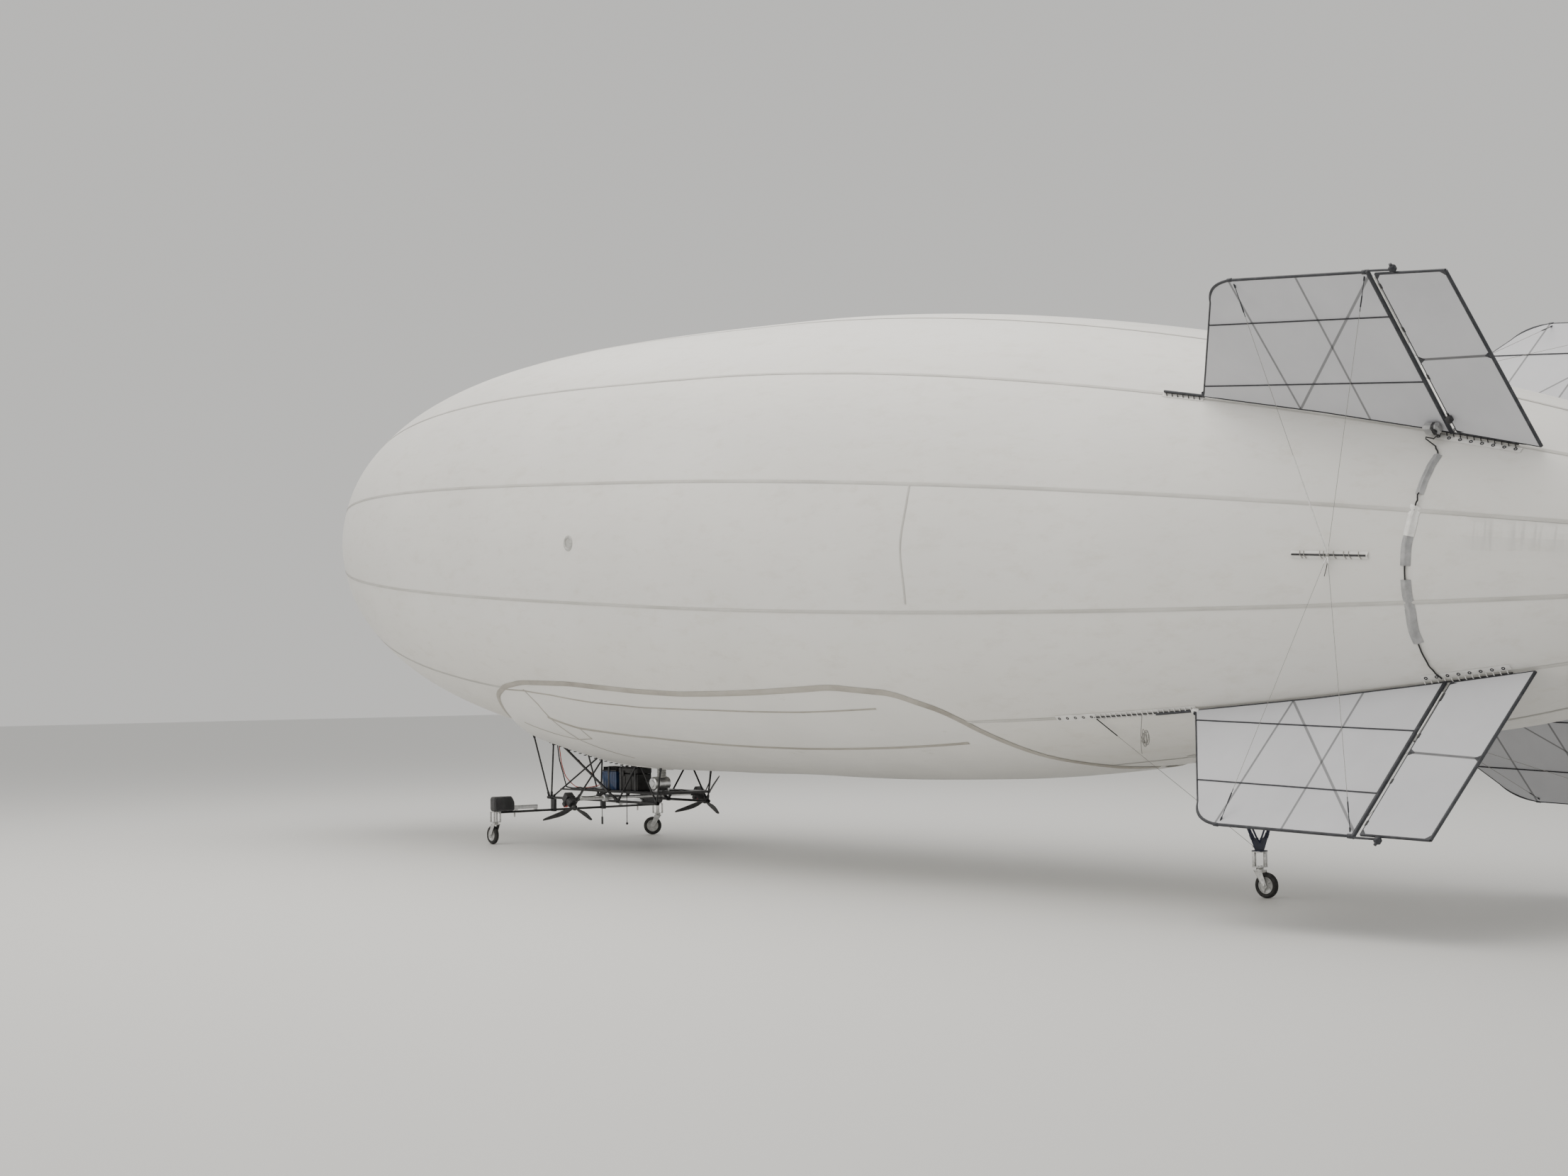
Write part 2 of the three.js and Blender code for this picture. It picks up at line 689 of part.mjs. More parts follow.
// A caster: a swivelling fork and its wheel, under a fixed seat.
function casterFork() {
  const half = WHEEL_WIDTH / 2;
  const plateOutside = half + 12;
  const plateInside = half + 7;
  const legs = [-1, 1].map((side) => {
    const shape = new THREE.Shape();
    shape.moveTo(-CASTER_TRAIL - 20, WHEEL_RADIUS);
    shape.absarc(-CASTER_TRAIL, WHEEL_RADIUS - 4, 20, Math.PI, TAU);
    shape.lineTo(34, CASTER_TOP - 22);
    shape.lineTo(-34, CASTER_TOP - 22);
    shape.closePath();
    const leg = new THREE.ExtrudeGeometry(shape, {
      depth: plateOutside - plateInside,
      bevelEnabled: false,
      curveSegments: 8,
    });
    leg.rotateX(Math.PI / 2);
    return leg.translate(0, side > 0 ? plateOutside : -plateInside, 0);
  });
  const crown = box(
    [-36, -plateOutside, CASTER_TOP - 24],
    [36, plateOutside, CASTER_TOP - 16],
  );
  const race = new THREE.CylinderGeometry(26, 30, 16, 16).rotateX(Math.PI / 2);
  race.translate(0, 0, CASTER_TOP - 9);
  const axle = disc([-CASTER_TRAIL, 0, WHEEL_RADIUS], 6, 2 * plateOutside + 10, 10);
  return join([...legs, crown, race, axle]);
}

function casterWheel() {
  const half = WHEEL_WIDTH / 2;
  const profile = [
    [-half, 6.3],
    [-half, 62],
    [-half + 2, WHEEL_RADIUS - 12],
    [-half + 9, WHEEL_RADIUS - 3],
    [0, WHEEL_RADIUS],
    [half - 9, WHEEL_RADIUS - 3],
    [half - 2, WHEEL_RADIUS - 12],
    [half, 62],
    [half, 6.3],
    [-half, 6.3],
  ];
  const points = profile.map(([y, radius]) => new THREE.Vector2(radius, y));
  const wheel = new THREE.LatheGeometry(points, 28);
  return wheel.translate(-CASTER_TRAIL, 0, WHEEL_RADIUS);
}

// Columns: name, swivel axis x and y, how far the caster is turned.
const CASTERS = [
  ["front_left", FRONT_GEAR_X, -FRONT_GEAR_Y, 0],
  ["front_right", FRONT_GEAR_X, FRONT_GEAR_Y, 52],
  ["tail", TAIL_GEAR_X, 0, 187],
].map(([name, x, y, turned]) => ({ name, x, y, turned }));

for (const caster of CASTERS) {
  const swivel = new THREE.Group();
  swivel.position.set(caster.x, caster.y, 0);
  swivel.rotation.z = rad(caster.turned);
  airship.add(swivel);
  addMesh(swivel, `${caster.name}_fork`, casterFork(), brightMetal);
  addMesh(swivel, `${caster.name}_wheel`, casterWheel(), blackRubber);
}

// The open bracket over each front caster, and the padded pod that hides the outrigger's end.
const BRACKET_TOP = POD_BOTTOM - GAP;
const FRONT_POSTS = [[-34, -34], [34, -34], [-34, 34], [34, 34]];
const FRONT_POST_HALF = 7;

function openBracket(height, posts, postHalf) {
  const base = CASTER_TOP + GAP;
  const pieces = [
    box([-BRACKET_HALF, -BRACKET_HALF, base], [BRACKET_HALF, BRACKET_HALF, base + 6]),
    box([-BRACKET_HALF, -BRACKET_HALF, height - 6], [BRACKET_HALF, BRACKET_HALF, height]),
  ];
  for (const [x, y] of posts) {
    pieces.push(
      box([x - postHalf, y - postHalf, base], [x + postHalf, y + postHalf, height]),
    );
  }
  return join(pieces);
}

function sidePod(side) {
  const shape = new THREE.Shape();
  shape.moveTo(POD_INNER_Y, POD_BOTTOM);
  shape.lineTo(POD_OUTER_Y, POD_BOTTOM);
  shape.lineTo(POD_OUTER_Y, POD_TOP);
  shape.lineTo(POD_INNER_Y + 30, POD_TOP);
  shape.lineTo(POD_INNER_Y, POD_TOP - 62);
  shape.closePath();
  const pod = new THREE.ExtrudeGeometry(shape, { depth: 104, bevelEnabled: false });
  pod.translate(0, 0, -52);
  pod.rotateX(Math.PI / 2).rotateZ(Math.PI / 2);
  if (side < 0) pod.rotateZ(Math.PI);
  return pod.translate(FRONT_GEAR_X, 0, 0);
}

for (const [name, side] of [["left", -1], ["right", 1]]) {
  const bracket = openBracket(BRACKET_TOP, FRONT_POSTS, FRONT_POST_HALF);
  bracket.translate(FRONT_GEAR_X, side * FRONT_GEAR_Y, 0);
  addMesh(airship, `caster_bracket_${name}`, bracket, brightMetal);
  addMesh(airship, `side_pod_${name}`, sidePod(side), blackPlastic);
}

// The motor boom: a bright tube across the gondola, whose ends carry the tilting motors.
function motorBoom() {
  const tube = bar(
    [MOTOR_BOOM_X, -MOTOR_BOOM_END, MOTOR_BOOM_HEIGHT],
    [MOTOR_BOOM_X, MOTOR_BOOM_END, MOTOR_BOOM_HEIGHT],
    16,
    12,
  );
  const sleeves = [-1, 1].map((side) =>
    disc([MOTOR_BOOM_X, side * (GONDOLA_HALF_WIDTH + 62), MOTOR_BOOM_HEIGHT], 32, 48, 16),
  );
  return join([tube, ...sleeves]);
}

addMesh(airship, "motor_boom", motorBoom(), brightMetal);

// Each motor sits ahead of its propeller, on a fork turned about the boom's axis.
function motorHousing(inwards) {
  const can = new THREE.CylinderGeometry(44, 44, 76, 20).rotateZ(Math.PI / 2);
  can.translate(PROPELLER_OFFSET - 70, 0, 0);
  const shaft = new THREE.CylinderGeometry(7, 7, 20, 10).rotateZ(Math.PI / 2);
  shaft.translate(PROPELLER_OFFSET - 24, 0, 0);
  const block = box([-60, -48, -46], [8, 48, 46]);
  const hubY = (MOTOR_Y - MOTOR_BOOM_END - GAP) * inwards;
  const arm = bar([0, 0, 0], [0, hubY, 0], 18, 12);
  const controller = box([-52, -22, -104], [-8, 22, -40]);
  return join([can, shaft, block, arm, controller]);
}

function propeller() {
  const hub = new THREE.CylinderGeometry(30, 30, 26, 16).rotateZ(Math.PI / 2);
  const nose = new THREE.CylinderGeometry(12, 26, 26, 16).rotateZ(-Math.PI / 2);
  nose.translate(25, 0, 0);
  const outline = new THREE.Shape();
  outline.moveTo(-12, 18);
  outline.quadraticCurveTo(-34, 90, -27, 190);
  outline.quadraticCurveTo(-20, 290, -6, PROPELLER_RADIUS);
  outline.lineTo(8, PROPELLER_RADIUS - 2);
  outline.quadraticCurveTo(16, 240, 18, 150);
  outline.quadraticCurveTo(18, 60, 12, 18);
  outline.closePath();
  const blades = [0, 1, 2].map((turn) => {
    const blade = new THREE.ExtrudeGeometry(outline, {
      depth: 5,
      bevelEnabled: false,
      curveSegments: 5,
    });
    blade.translate(0, 0, -2.5);
    blade.rotateY(rad(22));
    // The blade's width goes to Y, its length to Z and its thickness to X.
    blade.rotateX(Math.PI / 2).rotateZ(Math.PI / 2).rotateX(Math.PI / 2);
    return blade.rotateX((turn / 3) * TAU);
  });
  return join([hub, nose, ...blades]).translate(PROPELLER_OFFSET, 0, 0);
}

for (const [name, side, phase] of [["left", -1, 26.5], ["right", 1, 24]]) {
  const mount = new THREE.Group();
  mount.position.set(MOTOR_BOOM_X, side * MOTOR_Y, MOTOR_BOOM_HEIGHT);
  mount.rotation.y = rad(MOTOR_TILT_DEGREES);
  airship.add(mount);
  addMesh(mount, `motor_${name}`, motorHousing(-side), blackPlastic);
  const spinner = new THREE.Group();
  spinner.rotation.x = rad(phase);
  mount.add(spinner);
  addMesh(spinner, `propeller_${name}`, propeller(), blackPlastic);
}

// The tail leg: two splayed tubes and two thin ones rise from a notched plate over the caster.
const TAIL_BRACKET_TOP = 335;
const TAIL_POSTS = [[-28, -28], [28, 28]];
const TAIL_POST_HALF = 11;

function underHull(x, y) {
  const down = Math.asin(y / radiusAt(x));
  const drop = skinRadius(x, down) * Math.cos(down);
  const pitch = rad(NOSE_UP_DEGREES);
  return [x, y, ENVELOPE_CENTRE_HEIGHT - x * Math.tan(pitch) - drop / Math.cos(pitch) - 14];
}

function tailLeg() {
  const base = TAIL_BRACKET_TOP + GAP;
  const outline = [[-40, 0], [40, 0], [88, 98], [62, 108], [0, 62], [-62, 108], [-88, 98]];
  const shape = new THREE.Shape(outline.map(([y, up]) => new THREE.Vector2(y, base + up)));
  const notched = new THREE.ExtrudeGeometry(shape, { depth: 16, bevelEnabled: false });
  notched.translate(0, 0, -8);
  notched.rotateX(Math.PI / 2).rotateZ(Math.PI / 2).translate(TAIL_GEAR_X, 0, 0);
  const seat = box(
    [TAIL_GEAR_X - BRACKET_HALF, -BRACKET_HALF, base],
    [TAIL_GEAR_X + BRACKET_HALF, BRACKET_HALF, base + 8],
  );
  // Columns: the foot's place under the hull, the head's place on the plate, radius.
  const legs = [
    [underHull(TAIL_GEAR_X, -400), [TAIL_GEAR_X, -66, base + 84], 13],
    [underHull(TAIL_GEAR_X, 400), [TAIL_GEAR_X, 66, base + 84], 13],
    [underHull(TAIL_GEAR_X - 330, 0), [TAIL_GEAR_X, 0, base + 52], 7],
    [underHull(TAIL_GEAR_X + 280, 0), [TAIL_GEAR_X, 0, base + 52], 7],
  ];
  const pieces = [notched, seat];
  for (const [foot, head, radius] of legs) {
    pieces.push(bar(head, foot, radius));
    pieces.push(knuckle([foot[0], foot[1], foot[2] - 12], radius + 9));
  }
  return join(pieces);
}

addMesh(airship, "tail_leg", tailLeg(), darkTube);
addMesh(
  airship,
  "tail_bracket",
  openBracket(TAIL_BRACKET_TOP, TAIL_POSTS, TAIL_POST_HALF).translate(TAIL_GEAR_X, 0, 0),
  brightMetal,
);

// A wire on each side holds the tail leg, from the front end of a lower fin's lacing strip.
const TAIL_STAY_X = 3150;

function tailStay(side) {
  const out = radiusAt(TAIL_STAY_X) + 30;
  const anchor = new THREE.Vector3(TAIL_STAY_X, (side * out) / Math.SQRT2, -out / Math.SQRT2);
  anchor.applyAxisAngle(new THREE.Vector3(0, 1, 0), rad(NOSE_UP_DEGREES));
  anchor.z += ENVELOPE_CENTRE_HEIGHT;
  const eye = [TAIL_GEAR_X - 16, side * 43, TAIL_BRACKET_TOP + 36];
  const lug = box(
    [eye[0] - 5, Math.min(side * 34, side * 52), eye[2] - 8],
    [TAIL_GEAR_X - 8 - GAP, Math.max(side * 34, side * 52), eye[2] + 8],
  );
  return join([lug, bar(eye, anchor.toArray(), STAY_WIRE, 6)]);
}

for (const [name, side] of [["left", -1], ["right", 1]]) {
  addMesh(airship, `tail_stay_${name}`, tailStay(side), stayWire);
}

export default airship;
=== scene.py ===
import math

import bpy
from mathutils import Matrix, Vector


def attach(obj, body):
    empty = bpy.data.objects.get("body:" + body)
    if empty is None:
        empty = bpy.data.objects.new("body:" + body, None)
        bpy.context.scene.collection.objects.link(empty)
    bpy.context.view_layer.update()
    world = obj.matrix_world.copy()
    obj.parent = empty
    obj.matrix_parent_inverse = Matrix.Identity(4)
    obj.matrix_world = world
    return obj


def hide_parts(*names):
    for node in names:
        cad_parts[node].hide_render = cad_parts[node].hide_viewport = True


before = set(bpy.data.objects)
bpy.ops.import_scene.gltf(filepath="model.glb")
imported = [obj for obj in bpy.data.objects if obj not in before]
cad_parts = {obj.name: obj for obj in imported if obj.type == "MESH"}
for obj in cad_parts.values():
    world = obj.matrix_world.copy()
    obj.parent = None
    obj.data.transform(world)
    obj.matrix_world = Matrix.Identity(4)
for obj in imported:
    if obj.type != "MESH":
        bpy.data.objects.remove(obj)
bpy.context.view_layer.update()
bpy.ops.object.select_all(action="DESELECT")


# The photographer's place
# A handheld camera stands off the airship's left quarter at eye height, and looks along it
# towards the nose; it leans by less than a degree. Its lens is a little longer than normal.

CAMERA_PLACE = Vector((14.94, -13.184, 1.65))
CAMERA_LENS = 54.14
LOOK_TURN = math.radians(37.83)
LOOK_UP = math.radians(2.123)
LEAN = math.radians(-0.75)

look = Vector((
    -math.cos(LOOK_TURN) * math.cos(LOOK_UP),
    math.sin(LOOK_TURN) * math.cos(LOOK_UP),
    math.sin(LOOK_UP),
))
level_right = look.cross(Vector((0, 0, 1))).normalized()
level_up = level_right.cross(look)
lens_right = level_right * math.cos(LEAN) + level_up * math.sin(LEAN)
lens_up = level_up * math.cos(LEAN) - level_right * math.sin(LEAN)

bpy.ops.object.camera_add(location=CAMERA_PLACE)
camera = bpy.context.object
camera.name = "photo_camera"
camera.data.sensor_width = 36
camera.data.lens = CAMERA_LENS
camera.data.clip_end = 200
camera.matrix_world = Matrix((
    (lens_right.x, lens_up.x, -look.x, CAMERA_PLACE.x),
    (lens_right.y, lens_up.y, -look.y, CAMERA_PLACE.y),
    (lens_right.z, lens_up.z, -look.z, CAMERA_PLACE.z),
    (0, 0, 0, 1),
))
bpy.context.scene.camera = camera


# The floor and the light
# A plain pale floor, a soft sky all round, a wide panel overhead and a weaker one from the
# viewer's left, so that the hull is brightest on its upper side as under a hall's roof lights.

def node_material(name):
    """An empty node material: returns it with its nodes, links and surface shader."""
    material = bpy.data.materials.new(name)
    material.use_nodes = True
    nodes = material.node_tree.nodes
    return material, nodes, material.node_tree.links, nodes["Principled BSDF"]


def light_panel(name, place, target, size, power, color):
    bpy.ops.object.light_add(type="AREA", location=place)
    lamp = bpy.context.object
    lamp.name = name
    lamp.data.shape = "RECTANGLE"
    lamp.data.size, lamp.data.size_y = size
    lamp.data.energy = power
    lamp.data.color = color
    aim = Vector(target) - Vector(place)
    lamp.rotation_euler = aim.to_track_quat("-Z", "Y").to_euler()


bpy.ops.mesh.primitive_plane_add(size=160, location=(0, 0, 0))
floor = bpy.context.object
floor.name = "floor"
floor_material, _, _, floor_shader = node_material("pale_floor")
floor_shader.inputs["Base Color"].default_value = (0.70, 0.70, 0.69, 1)
floor_shader.inputs["Roughness"].default_value = 0.55
floor.data.materials.append(floor_material)

light_panel("roof_light", (-2, -2, 13), (0, 0, 2), (26, 12), 2300, (1.0, 0.965, 0.91))
light_panel("left_light", (-9, -15, 7), (-1, 0, 2), (12, 7), 560, (1.0, 0.96, 0.90))
light_panel("rear_light", (17, 3, 7), (5, 0, 2.5), (8, 7), 260, (1.0, 0.97, 0.93))

sky = bpy.data.worlds.new("soft_sky")
sky.use_nodes = True
sky.node_tree.nodes["Background"].inputs["Color"].default_value = (0.97, 0.96, 0.93, 1)
sky.node_tree.nodes["Background"].inputs["Strength"].default_value = 0.70
bpy.context.scene.world = sky


# The gas envelope
# Twelve long gores of coated white fabric are lapped and welded edge to edge, and gas pressure
# fills them out between the seams. The hull rides nose up, as it is held by its casters.

HULL_RADIUS = 2.027
NOSE_LENGTH = 7.65
TAIL_LENGTH = 10.75
NOSE_POWER = 3.0
NOSE_ROUNDNESS = 2.7
TAIL_POWER = 1.93
TAIL_RING_RADIUS = 0.15
TAIL_CAP_DEPTH = 0.078
TAIL_RING_SHARE = (1 - TAIL_RING_RADIUS / HULL_RADIUS) ** (1 / TAIL_POWER)
HULL_LENGTH = NOSE_LENGTH + TAIL_LENGTH * TAIL_RING_SHARE
NOSE_X = -(HULL_LENGTH + TAIL_CAP_DEPTH) / 2
HULL_CENTRE = Vector((0.0034, 0, 2.682))
NOSE_UP = math.radians(3.41)
GORES = 12
SEAM_TURNS = [math.radians(15 + 30 * gore) for gore in range(GORES)]


def hull_radius(x):
    """The hull's radius at x along its own axis, which starts at its middle and runs aft."""
    behind_nose = x - NOSE_X
    if behind_nose < NOSE_LENGTH:
        ahead = (NOSE_LENGTH - max(behind_nose, 0)) / NOSE_LENGTH
        return HULL_RADIUS * max(0, 1 - ahead ** NOSE_POWER) ** (1 / NOSE_ROUNDNESS)
    aft = (behind_nose - NOSE_LENGTH) / TAIL_LENGTH
    return HULL_RADIUS * (1 - aft ** TAIL_POWER)


# The skin under the aft half is drawn up a little towards the axis.
# Columns: distance behind the nose, how far the lowest line stands above the round hull.
BELLY = [
    (6.2, 0.0),
    (8.2, 0.078),
    (10.2, 0.100),
    (12.3, 0.130),
    (13.3, 0.100),
    (15.2, 0.0),
]

# Welded seams hold the skin in; between them the gores swell out by a few millimetres.
GORE_SWELL = 0.006


def skin_radius(x, turn):
    """The skin's distance from the axis; turn goes round from the top towards the left side."""
    radius = hull_radius(x)
    across = (math.degrees(turn) - 15) / 30 % 1
    swell = GORE_SWELL * math.sin(math.pi * across) ** 0.6 * min(1, radius / 0.8)
    down = abs(turn % math.tau - math.pi)
    if down > math.pi / 4:
        return radius + swell
    for (start, low), (end, high) in zip(BELLY, BELLY[1:]):
        if start <= x - NOSE_X < end:
            eased = (1 - math.cos(math.pi * (x - NOSE_X - start) / (end - start))) / 2
            swell -= (low + (high - low) * eased) * math.cos(2 * down) ** 2
    return radius + swell


def in_row(x, y, z):
    """A point of the hull's own frame, put where the nose-up hull has it."""
    return HULL_CENTRE + Vector((
        x * math.cos(NOSE_UP) + z * math.sin(NOSE_UP),
        y,
        z * math.cos(NOSE_UP) - x * math.sin(NOSE_UP),
    ))


def on_hull(x, turn, lift=0.0):
    """A point on the skin, or a lift above it."""
    out = skin_radius(x, turn) + lift
    return in_row(x, -out * math.sin(turn), out * math.cos(turn))


def sheet_of_cloth(name, columns, rows, place):
    """A grid whose points are laid where place(u, v) says, with its corners' UVs kept."""
    bpy.ops.object.select_all(action="DESELECT")
    bpy.ops.mesh.primitive_grid_add(x_subdivisions=columns, y_subdivisions=rows, size=2)
    sheet = bpy.context.object
    sheet.name = name
    for point in sheet.data.vertices:
        point.co = place((point.co.x + 1) / 2, (point.co.y + 1) / 2)
    return sheet


def only(piece):
    """Selects one object and makes it the active one."""
    bpy.ops.object.select_all(action="DESELECT")
    piece.select_set(True)
    bpy.context.view_layer.objects.active = piece


def sew_closed(piece, gap=0.0005):
    """Merges the points that meet, and turns every face outwards."""
    only(piece)
    bpy.ops.object.mode_set(mode="EDIT")
    bpy.ops.mesh.select_all(action="SELECT")
    bpy.ops.mesh.remove_doubles(threshold=gap)
    bpy.ops.mesh.normals_make_consistent(inside=False)
    bpy.ops.object.mode_set(mode="OBJECT")
    return piece


def smooth(piece, degrees=40):
    only(piece)
    bpy.ops.object.shade_smooth_by_angle(angle=math.radians(degrees))
    return piece


def joined(name, pieces):
    """Several finished objects as one piece."""
    bpy.ops.object.select_all(action="DESELECT")
    for piece in pieces:
        piece.select_set(True)
    bpy.context.view_layer.objects.active = pieces[0]
    if len(pieces) > 1:
        bpy.ops.object.join()
    whole = bpy.context.object
    whole.name = name
    return whole


def dress(piece, material, slot):
    piece.data.materials.clear()
    piece.data.materials.append(material)
    return piece


def noise(nodes, links, where, scale, detail=3.0, roughness=0.55, stretch=(1, 1, 1)):
    """A noise pattern on one of the texture coordinates, stretched by the mapping."""
    coordinates = nodes.new("ShaderNodeTexCoord")
    mapping = nodes.new("ShaderNodeMapping")
    mapping.inputs["Scale"].default_value = stretch
    links.new(coordinates.outputs[where], mapping.inputs["Vector"])
    pattern = nodes.new("ShaderNodeTexNoise")
    pattern.inputs["Scale"].default_value = scale
    pattern.inputs["Detail"].default_value = detail
    pattern.inputs["Roughness"].default_value = roughness
    links.new(mapping.outputs["Vector"], pattern.inputs["Vector"])
    return pattern.outputs["Fac"]


def ramp(nodes, links, value, stops):
    """Colours along a value: stops are (position, colour)."""
    blend = nodes.new("ShaderNodeValToRGB")
    while len(blend.color_ramp.elements) < len(stops):
        blend.color_ramp.elements.new(0.5)
    for element, (position, color) in zip(blend.color_ramp.elements, stops):
        element.position = position
        element.color = (*color, 1)
    links.new(value, blend.inputs["Fac"])
    return blend.outputs["Color"]


def overlay(nodes, links, amount, low, high, mode="MULTIPLY"):
    """One colour laid over another by an amount, a number or a pattern."""
    mix = nodes.new("ShaderNodeMix")
    mix.data_type = "RGBA"
    mix.blend_type = mode
    for socket, value in (("Factor", amount), ("A", low), ("B", high)):
        target = next(s for s in mix.inputs if s.name == socket and s.enabled)
        if isinstance(value, (int, float)):
            target.default_value = value
        elif isinstance(value, tuple):
            target.default_value = (*value, 1)
        else:
            links.new(value, target)
    return next(s for s in mix.outputs if s.enabled)


def relief(nodes, links, shader, height, strength, distance, below=None):
    """A height pattern on the surface, laid over an earlier one if below is given."""
    bump = nodes.new("ShaderNodeBump")
    bump.inputs["Strength"].default_value = strength
    bump.inputs["Distance"].default_value = distance
    links.new(height, bump.inputs["Height"])
    if below is not None:
        links.new(below, bump.inputs["Normal"])
    links.new(bump.outputs["Normal"], shader.inputs["Normal"])
    return bump.outputs["Normal"]


def arithmetic(nodes, links, operation, first, second=None):
    """One operation on two sockets or numbers."""
    node = nodes.new("ShaderNodeMath")
    node.operation = operation
    for socket, value in zip(node.inputs, (first, second)):
        if isinstance(value, (int, float)):
            socket.default_value = value
        elif value is not None:
            links.new(value, socket)
    return node.outputs["Value"]


def mottled(name, spots, stops, finish, grain, strength, distance):
    """A material whose colour wanders between stops over spots, with a fine grain in relief."""
    material, nodes, links, shader = node_material(name)
    color = ramp(nodes, links, noise(nodes, links, "Object", *spots), stops)
    links.new(color, shader.inputs["Base Color"])
    for socket, value in finish.items():
        shader.inputs[socket].default_value = value
    relief(nodes, links, shader, noise(nodes, links, "Object", *grain), strength, distance)
    return material


AROUND = GORES * 12
PUCKER_TURN = math.radians(9.0)
PUCKER_WIDTH = math.radians(5)
PUCKER_EDGE = math.radians(75.5)
PUCKER_START_X = 5.95


def envelope_point(u, v):
    if u > 0.9999:
        return in_row(NOSE_X + HULL_LENGTH, 0, 0)
    x = NOSE_X + HULL_LENGTH * (1 - math.cos(u * 260 / 259 * math.pi / 2)) ** 0.72
    return on_hull(x, v * math.tau, -0.001)


envelope = sheet_of_cloth("gored_envelope", 260, AROUND, envelope_point)
pucker = envelope.data.attributes.new("pucker", "FLOAT", "POINT")
underside_darkening = envelope.data.attributes.new("underside_darkening", "FLOAT", "POINT")
for point in envelope.data.vertices:
    local = point.co - HULL_CENTRE
    x = local.x * math.cos(NOSE_UP) - local.z * math.sin(NOSE_UP)
    z = local.z * math.cos(NOSE_UP) + local.x * math.sin(NOSE_UP)
    turn = math.atan2(abs(local.y), z)
    beside = (turn - (math.pi / 2 - PUCKER_TURN)) / PUCKER_WIDTH
    aft = min(1, max(0, (x - PUCKER_START_X) / 0.15))
    under_seam = 1 if turn > PUCKER_EDGE else 0
    pucker.data[point.index].value = aft * under_seam * math.exp(-beside * beside)
    # The skin's colour is tinted darker towards the bottom, more the deeper a point lies below the
    # axis.
    underside_darkening.data[point.index].value = max(0, -z / HULL_RADIUS)
sew_closed(envelope)
smooth(envelope, 60)

# Coated envelope fabric: a fine weave under a satin coating, faint clouding, creases left from
# packing, and a warm grey tint that grows darker towards the bottom of the hull.
coated, nodes, links, shader = node_material("coated_envelope_fabric")
clouds = ramp(nodes, links, noise(nodes, links, "Object", 0.55, 4), [
    (0.30, (0.765, 0.755, 0.725)),
    (0.70, (0.825, 0.815, 0.785)),
])
specks = ramp(nodes, links, noise(nodes, links, "Object", 9, 6, 0.7, (0.4, 1, 1)), [
    (0.30, (0.93, 0.92, 0.90)),
    (0.48, (1.0, 1.0, 1.0)),
])
skin_color = overlay(nodes, links, 1.0, clouds, specks)
# film: a warm grey tint over the colour, deepest along the bottom of the hull.
low_side = nodes.new("ShaderNodeAttribute")
low_side.attribute_name = "underside_darkening"
film = ramp(nodes, links, low_side.outputs["Fac"], [(0.35, (1, 1, 1)), (1.0, (0.93, 0.915, 0.88))])
links.new(overlay(nodes, links, 1.0, skin_color, film), shader.inputs["Base Color"])
gloss = nodes.new("ShaderNodeMapRange")
gloss.inputs["To Min"].default_value = 0.40
gloss.inputs["To Max"].default_value = 0.56
links.new(noise(nodes, links, "Object", 2.2, 3), gloss.inputs["Value"])
links.new(gloss.outputs["Result"], shader.inputs["Roughness"])
shader.inputs["Specular IOR Level"].default_value = 0.36
shader.inputs["Sheen Weight"].default_value = 0.08
creases = noise(nodes, links, "Object", 1.3, 4, 0.6, (0.5, 1.6, 1.6))
soft_relief = relief(nodes, links, shader, creases, 0.22, 0.05)
gathers = noise(nodes, links, "Object", 3.4, 2, 0.4, (4.2, 0.35, 0.35))
gather_mask = nodes.new("ShaderNodeAttribute")
gather_mask.attribute_name = "pucker"
gathered = arithmetic(nodes, links, "MULTIPLY", gathers, gather_mask.outputs["Fac"])
gathered_relief = relief(nodes, links, shader, gathered, 1.0, 0.05, soft_relief)
weave = noise(nodes, links, "Object", 260, 1)
relief(nodes, links, shader, weave, 0.05, 0.001, gathered_relief)
dress(envelope, coated, "envelope_fabric")
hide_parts("envelope")
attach(envelope, "hull")


def strip_on(surface, name, path, width, lift, columns=40, rows=4, ridge=0.0):
    """A flat tape on a surface of (x, turn, lift): path(share) gives its line, and a ridge
    raises its middle over whatever lies under it."""
    def place(u, v):
        x, turn = path(u)
        next_x, next_turn = path(min(1, u + 0.003))
        last_x, last_turn = path(max(0, u - 0.003))
        radius = hull_radius(x)
        along = Vector((next_x - last_x, radius * (next_turn - last_turn))).normalized()
        aside = (v - 0.5) * width
        edge = 1 - 0.6 * abs(2 * v - 1) ** 4
        crown = lift * edge + ridge * math.exp(-((v - 0.5) * width / 0.011) ** 2)
        return surface(x - along.y * aside, turn + along.x * aside / radius, crown)
    return sheet_of_cloth(name, columns, rows, place)


# Lap tapes: a strip of the same fabric is welded over each seam, and is coloured a mottled grey
# darker than the hull. One short cross seam on the left closes a panel joint.
SEAM_TAPE_WIDTH = 0.024
tapes = []
for number, seam in enumerate(SEAM_TURNS):
    def seam_path(share, seam=seam):
        return NOSE_X + 0.30 + share * (HULL_LENGTH - 0.34), seam
    tapes.append(strip_on(on_hull, f"seam_tape_{number}", seam_path, SEAM_TAPE_WIDTH, 0.0035, 220, 3))


def cross_seam_path(share):
    return 1.75 + 0.01 * math.sin(share * 9), math.radians(75 + 28 * share)


tapes.append(strip_on(on_hull, "cross_seam", cross_seam_path, 0.018, 0.003, 24, 3))
seam_tapes = joined("seam_tapes", tapes)
smooth(seam_tapes)
tape_fabric = mottled("welded_seam_tape", (5, 5, 0.65, (0.3, 1, 1)), [
    (0.35, (0.50, 0.49, 0.46)),
    (0.65, (0.62, 0.61, 0.58)),
], {"Roughness": 0.5}, (60, 2), 0.15, 0.002)
dress(seam_tapes, tape_fabric, "envelope_fabric")
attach(seam_tapes, "hull")


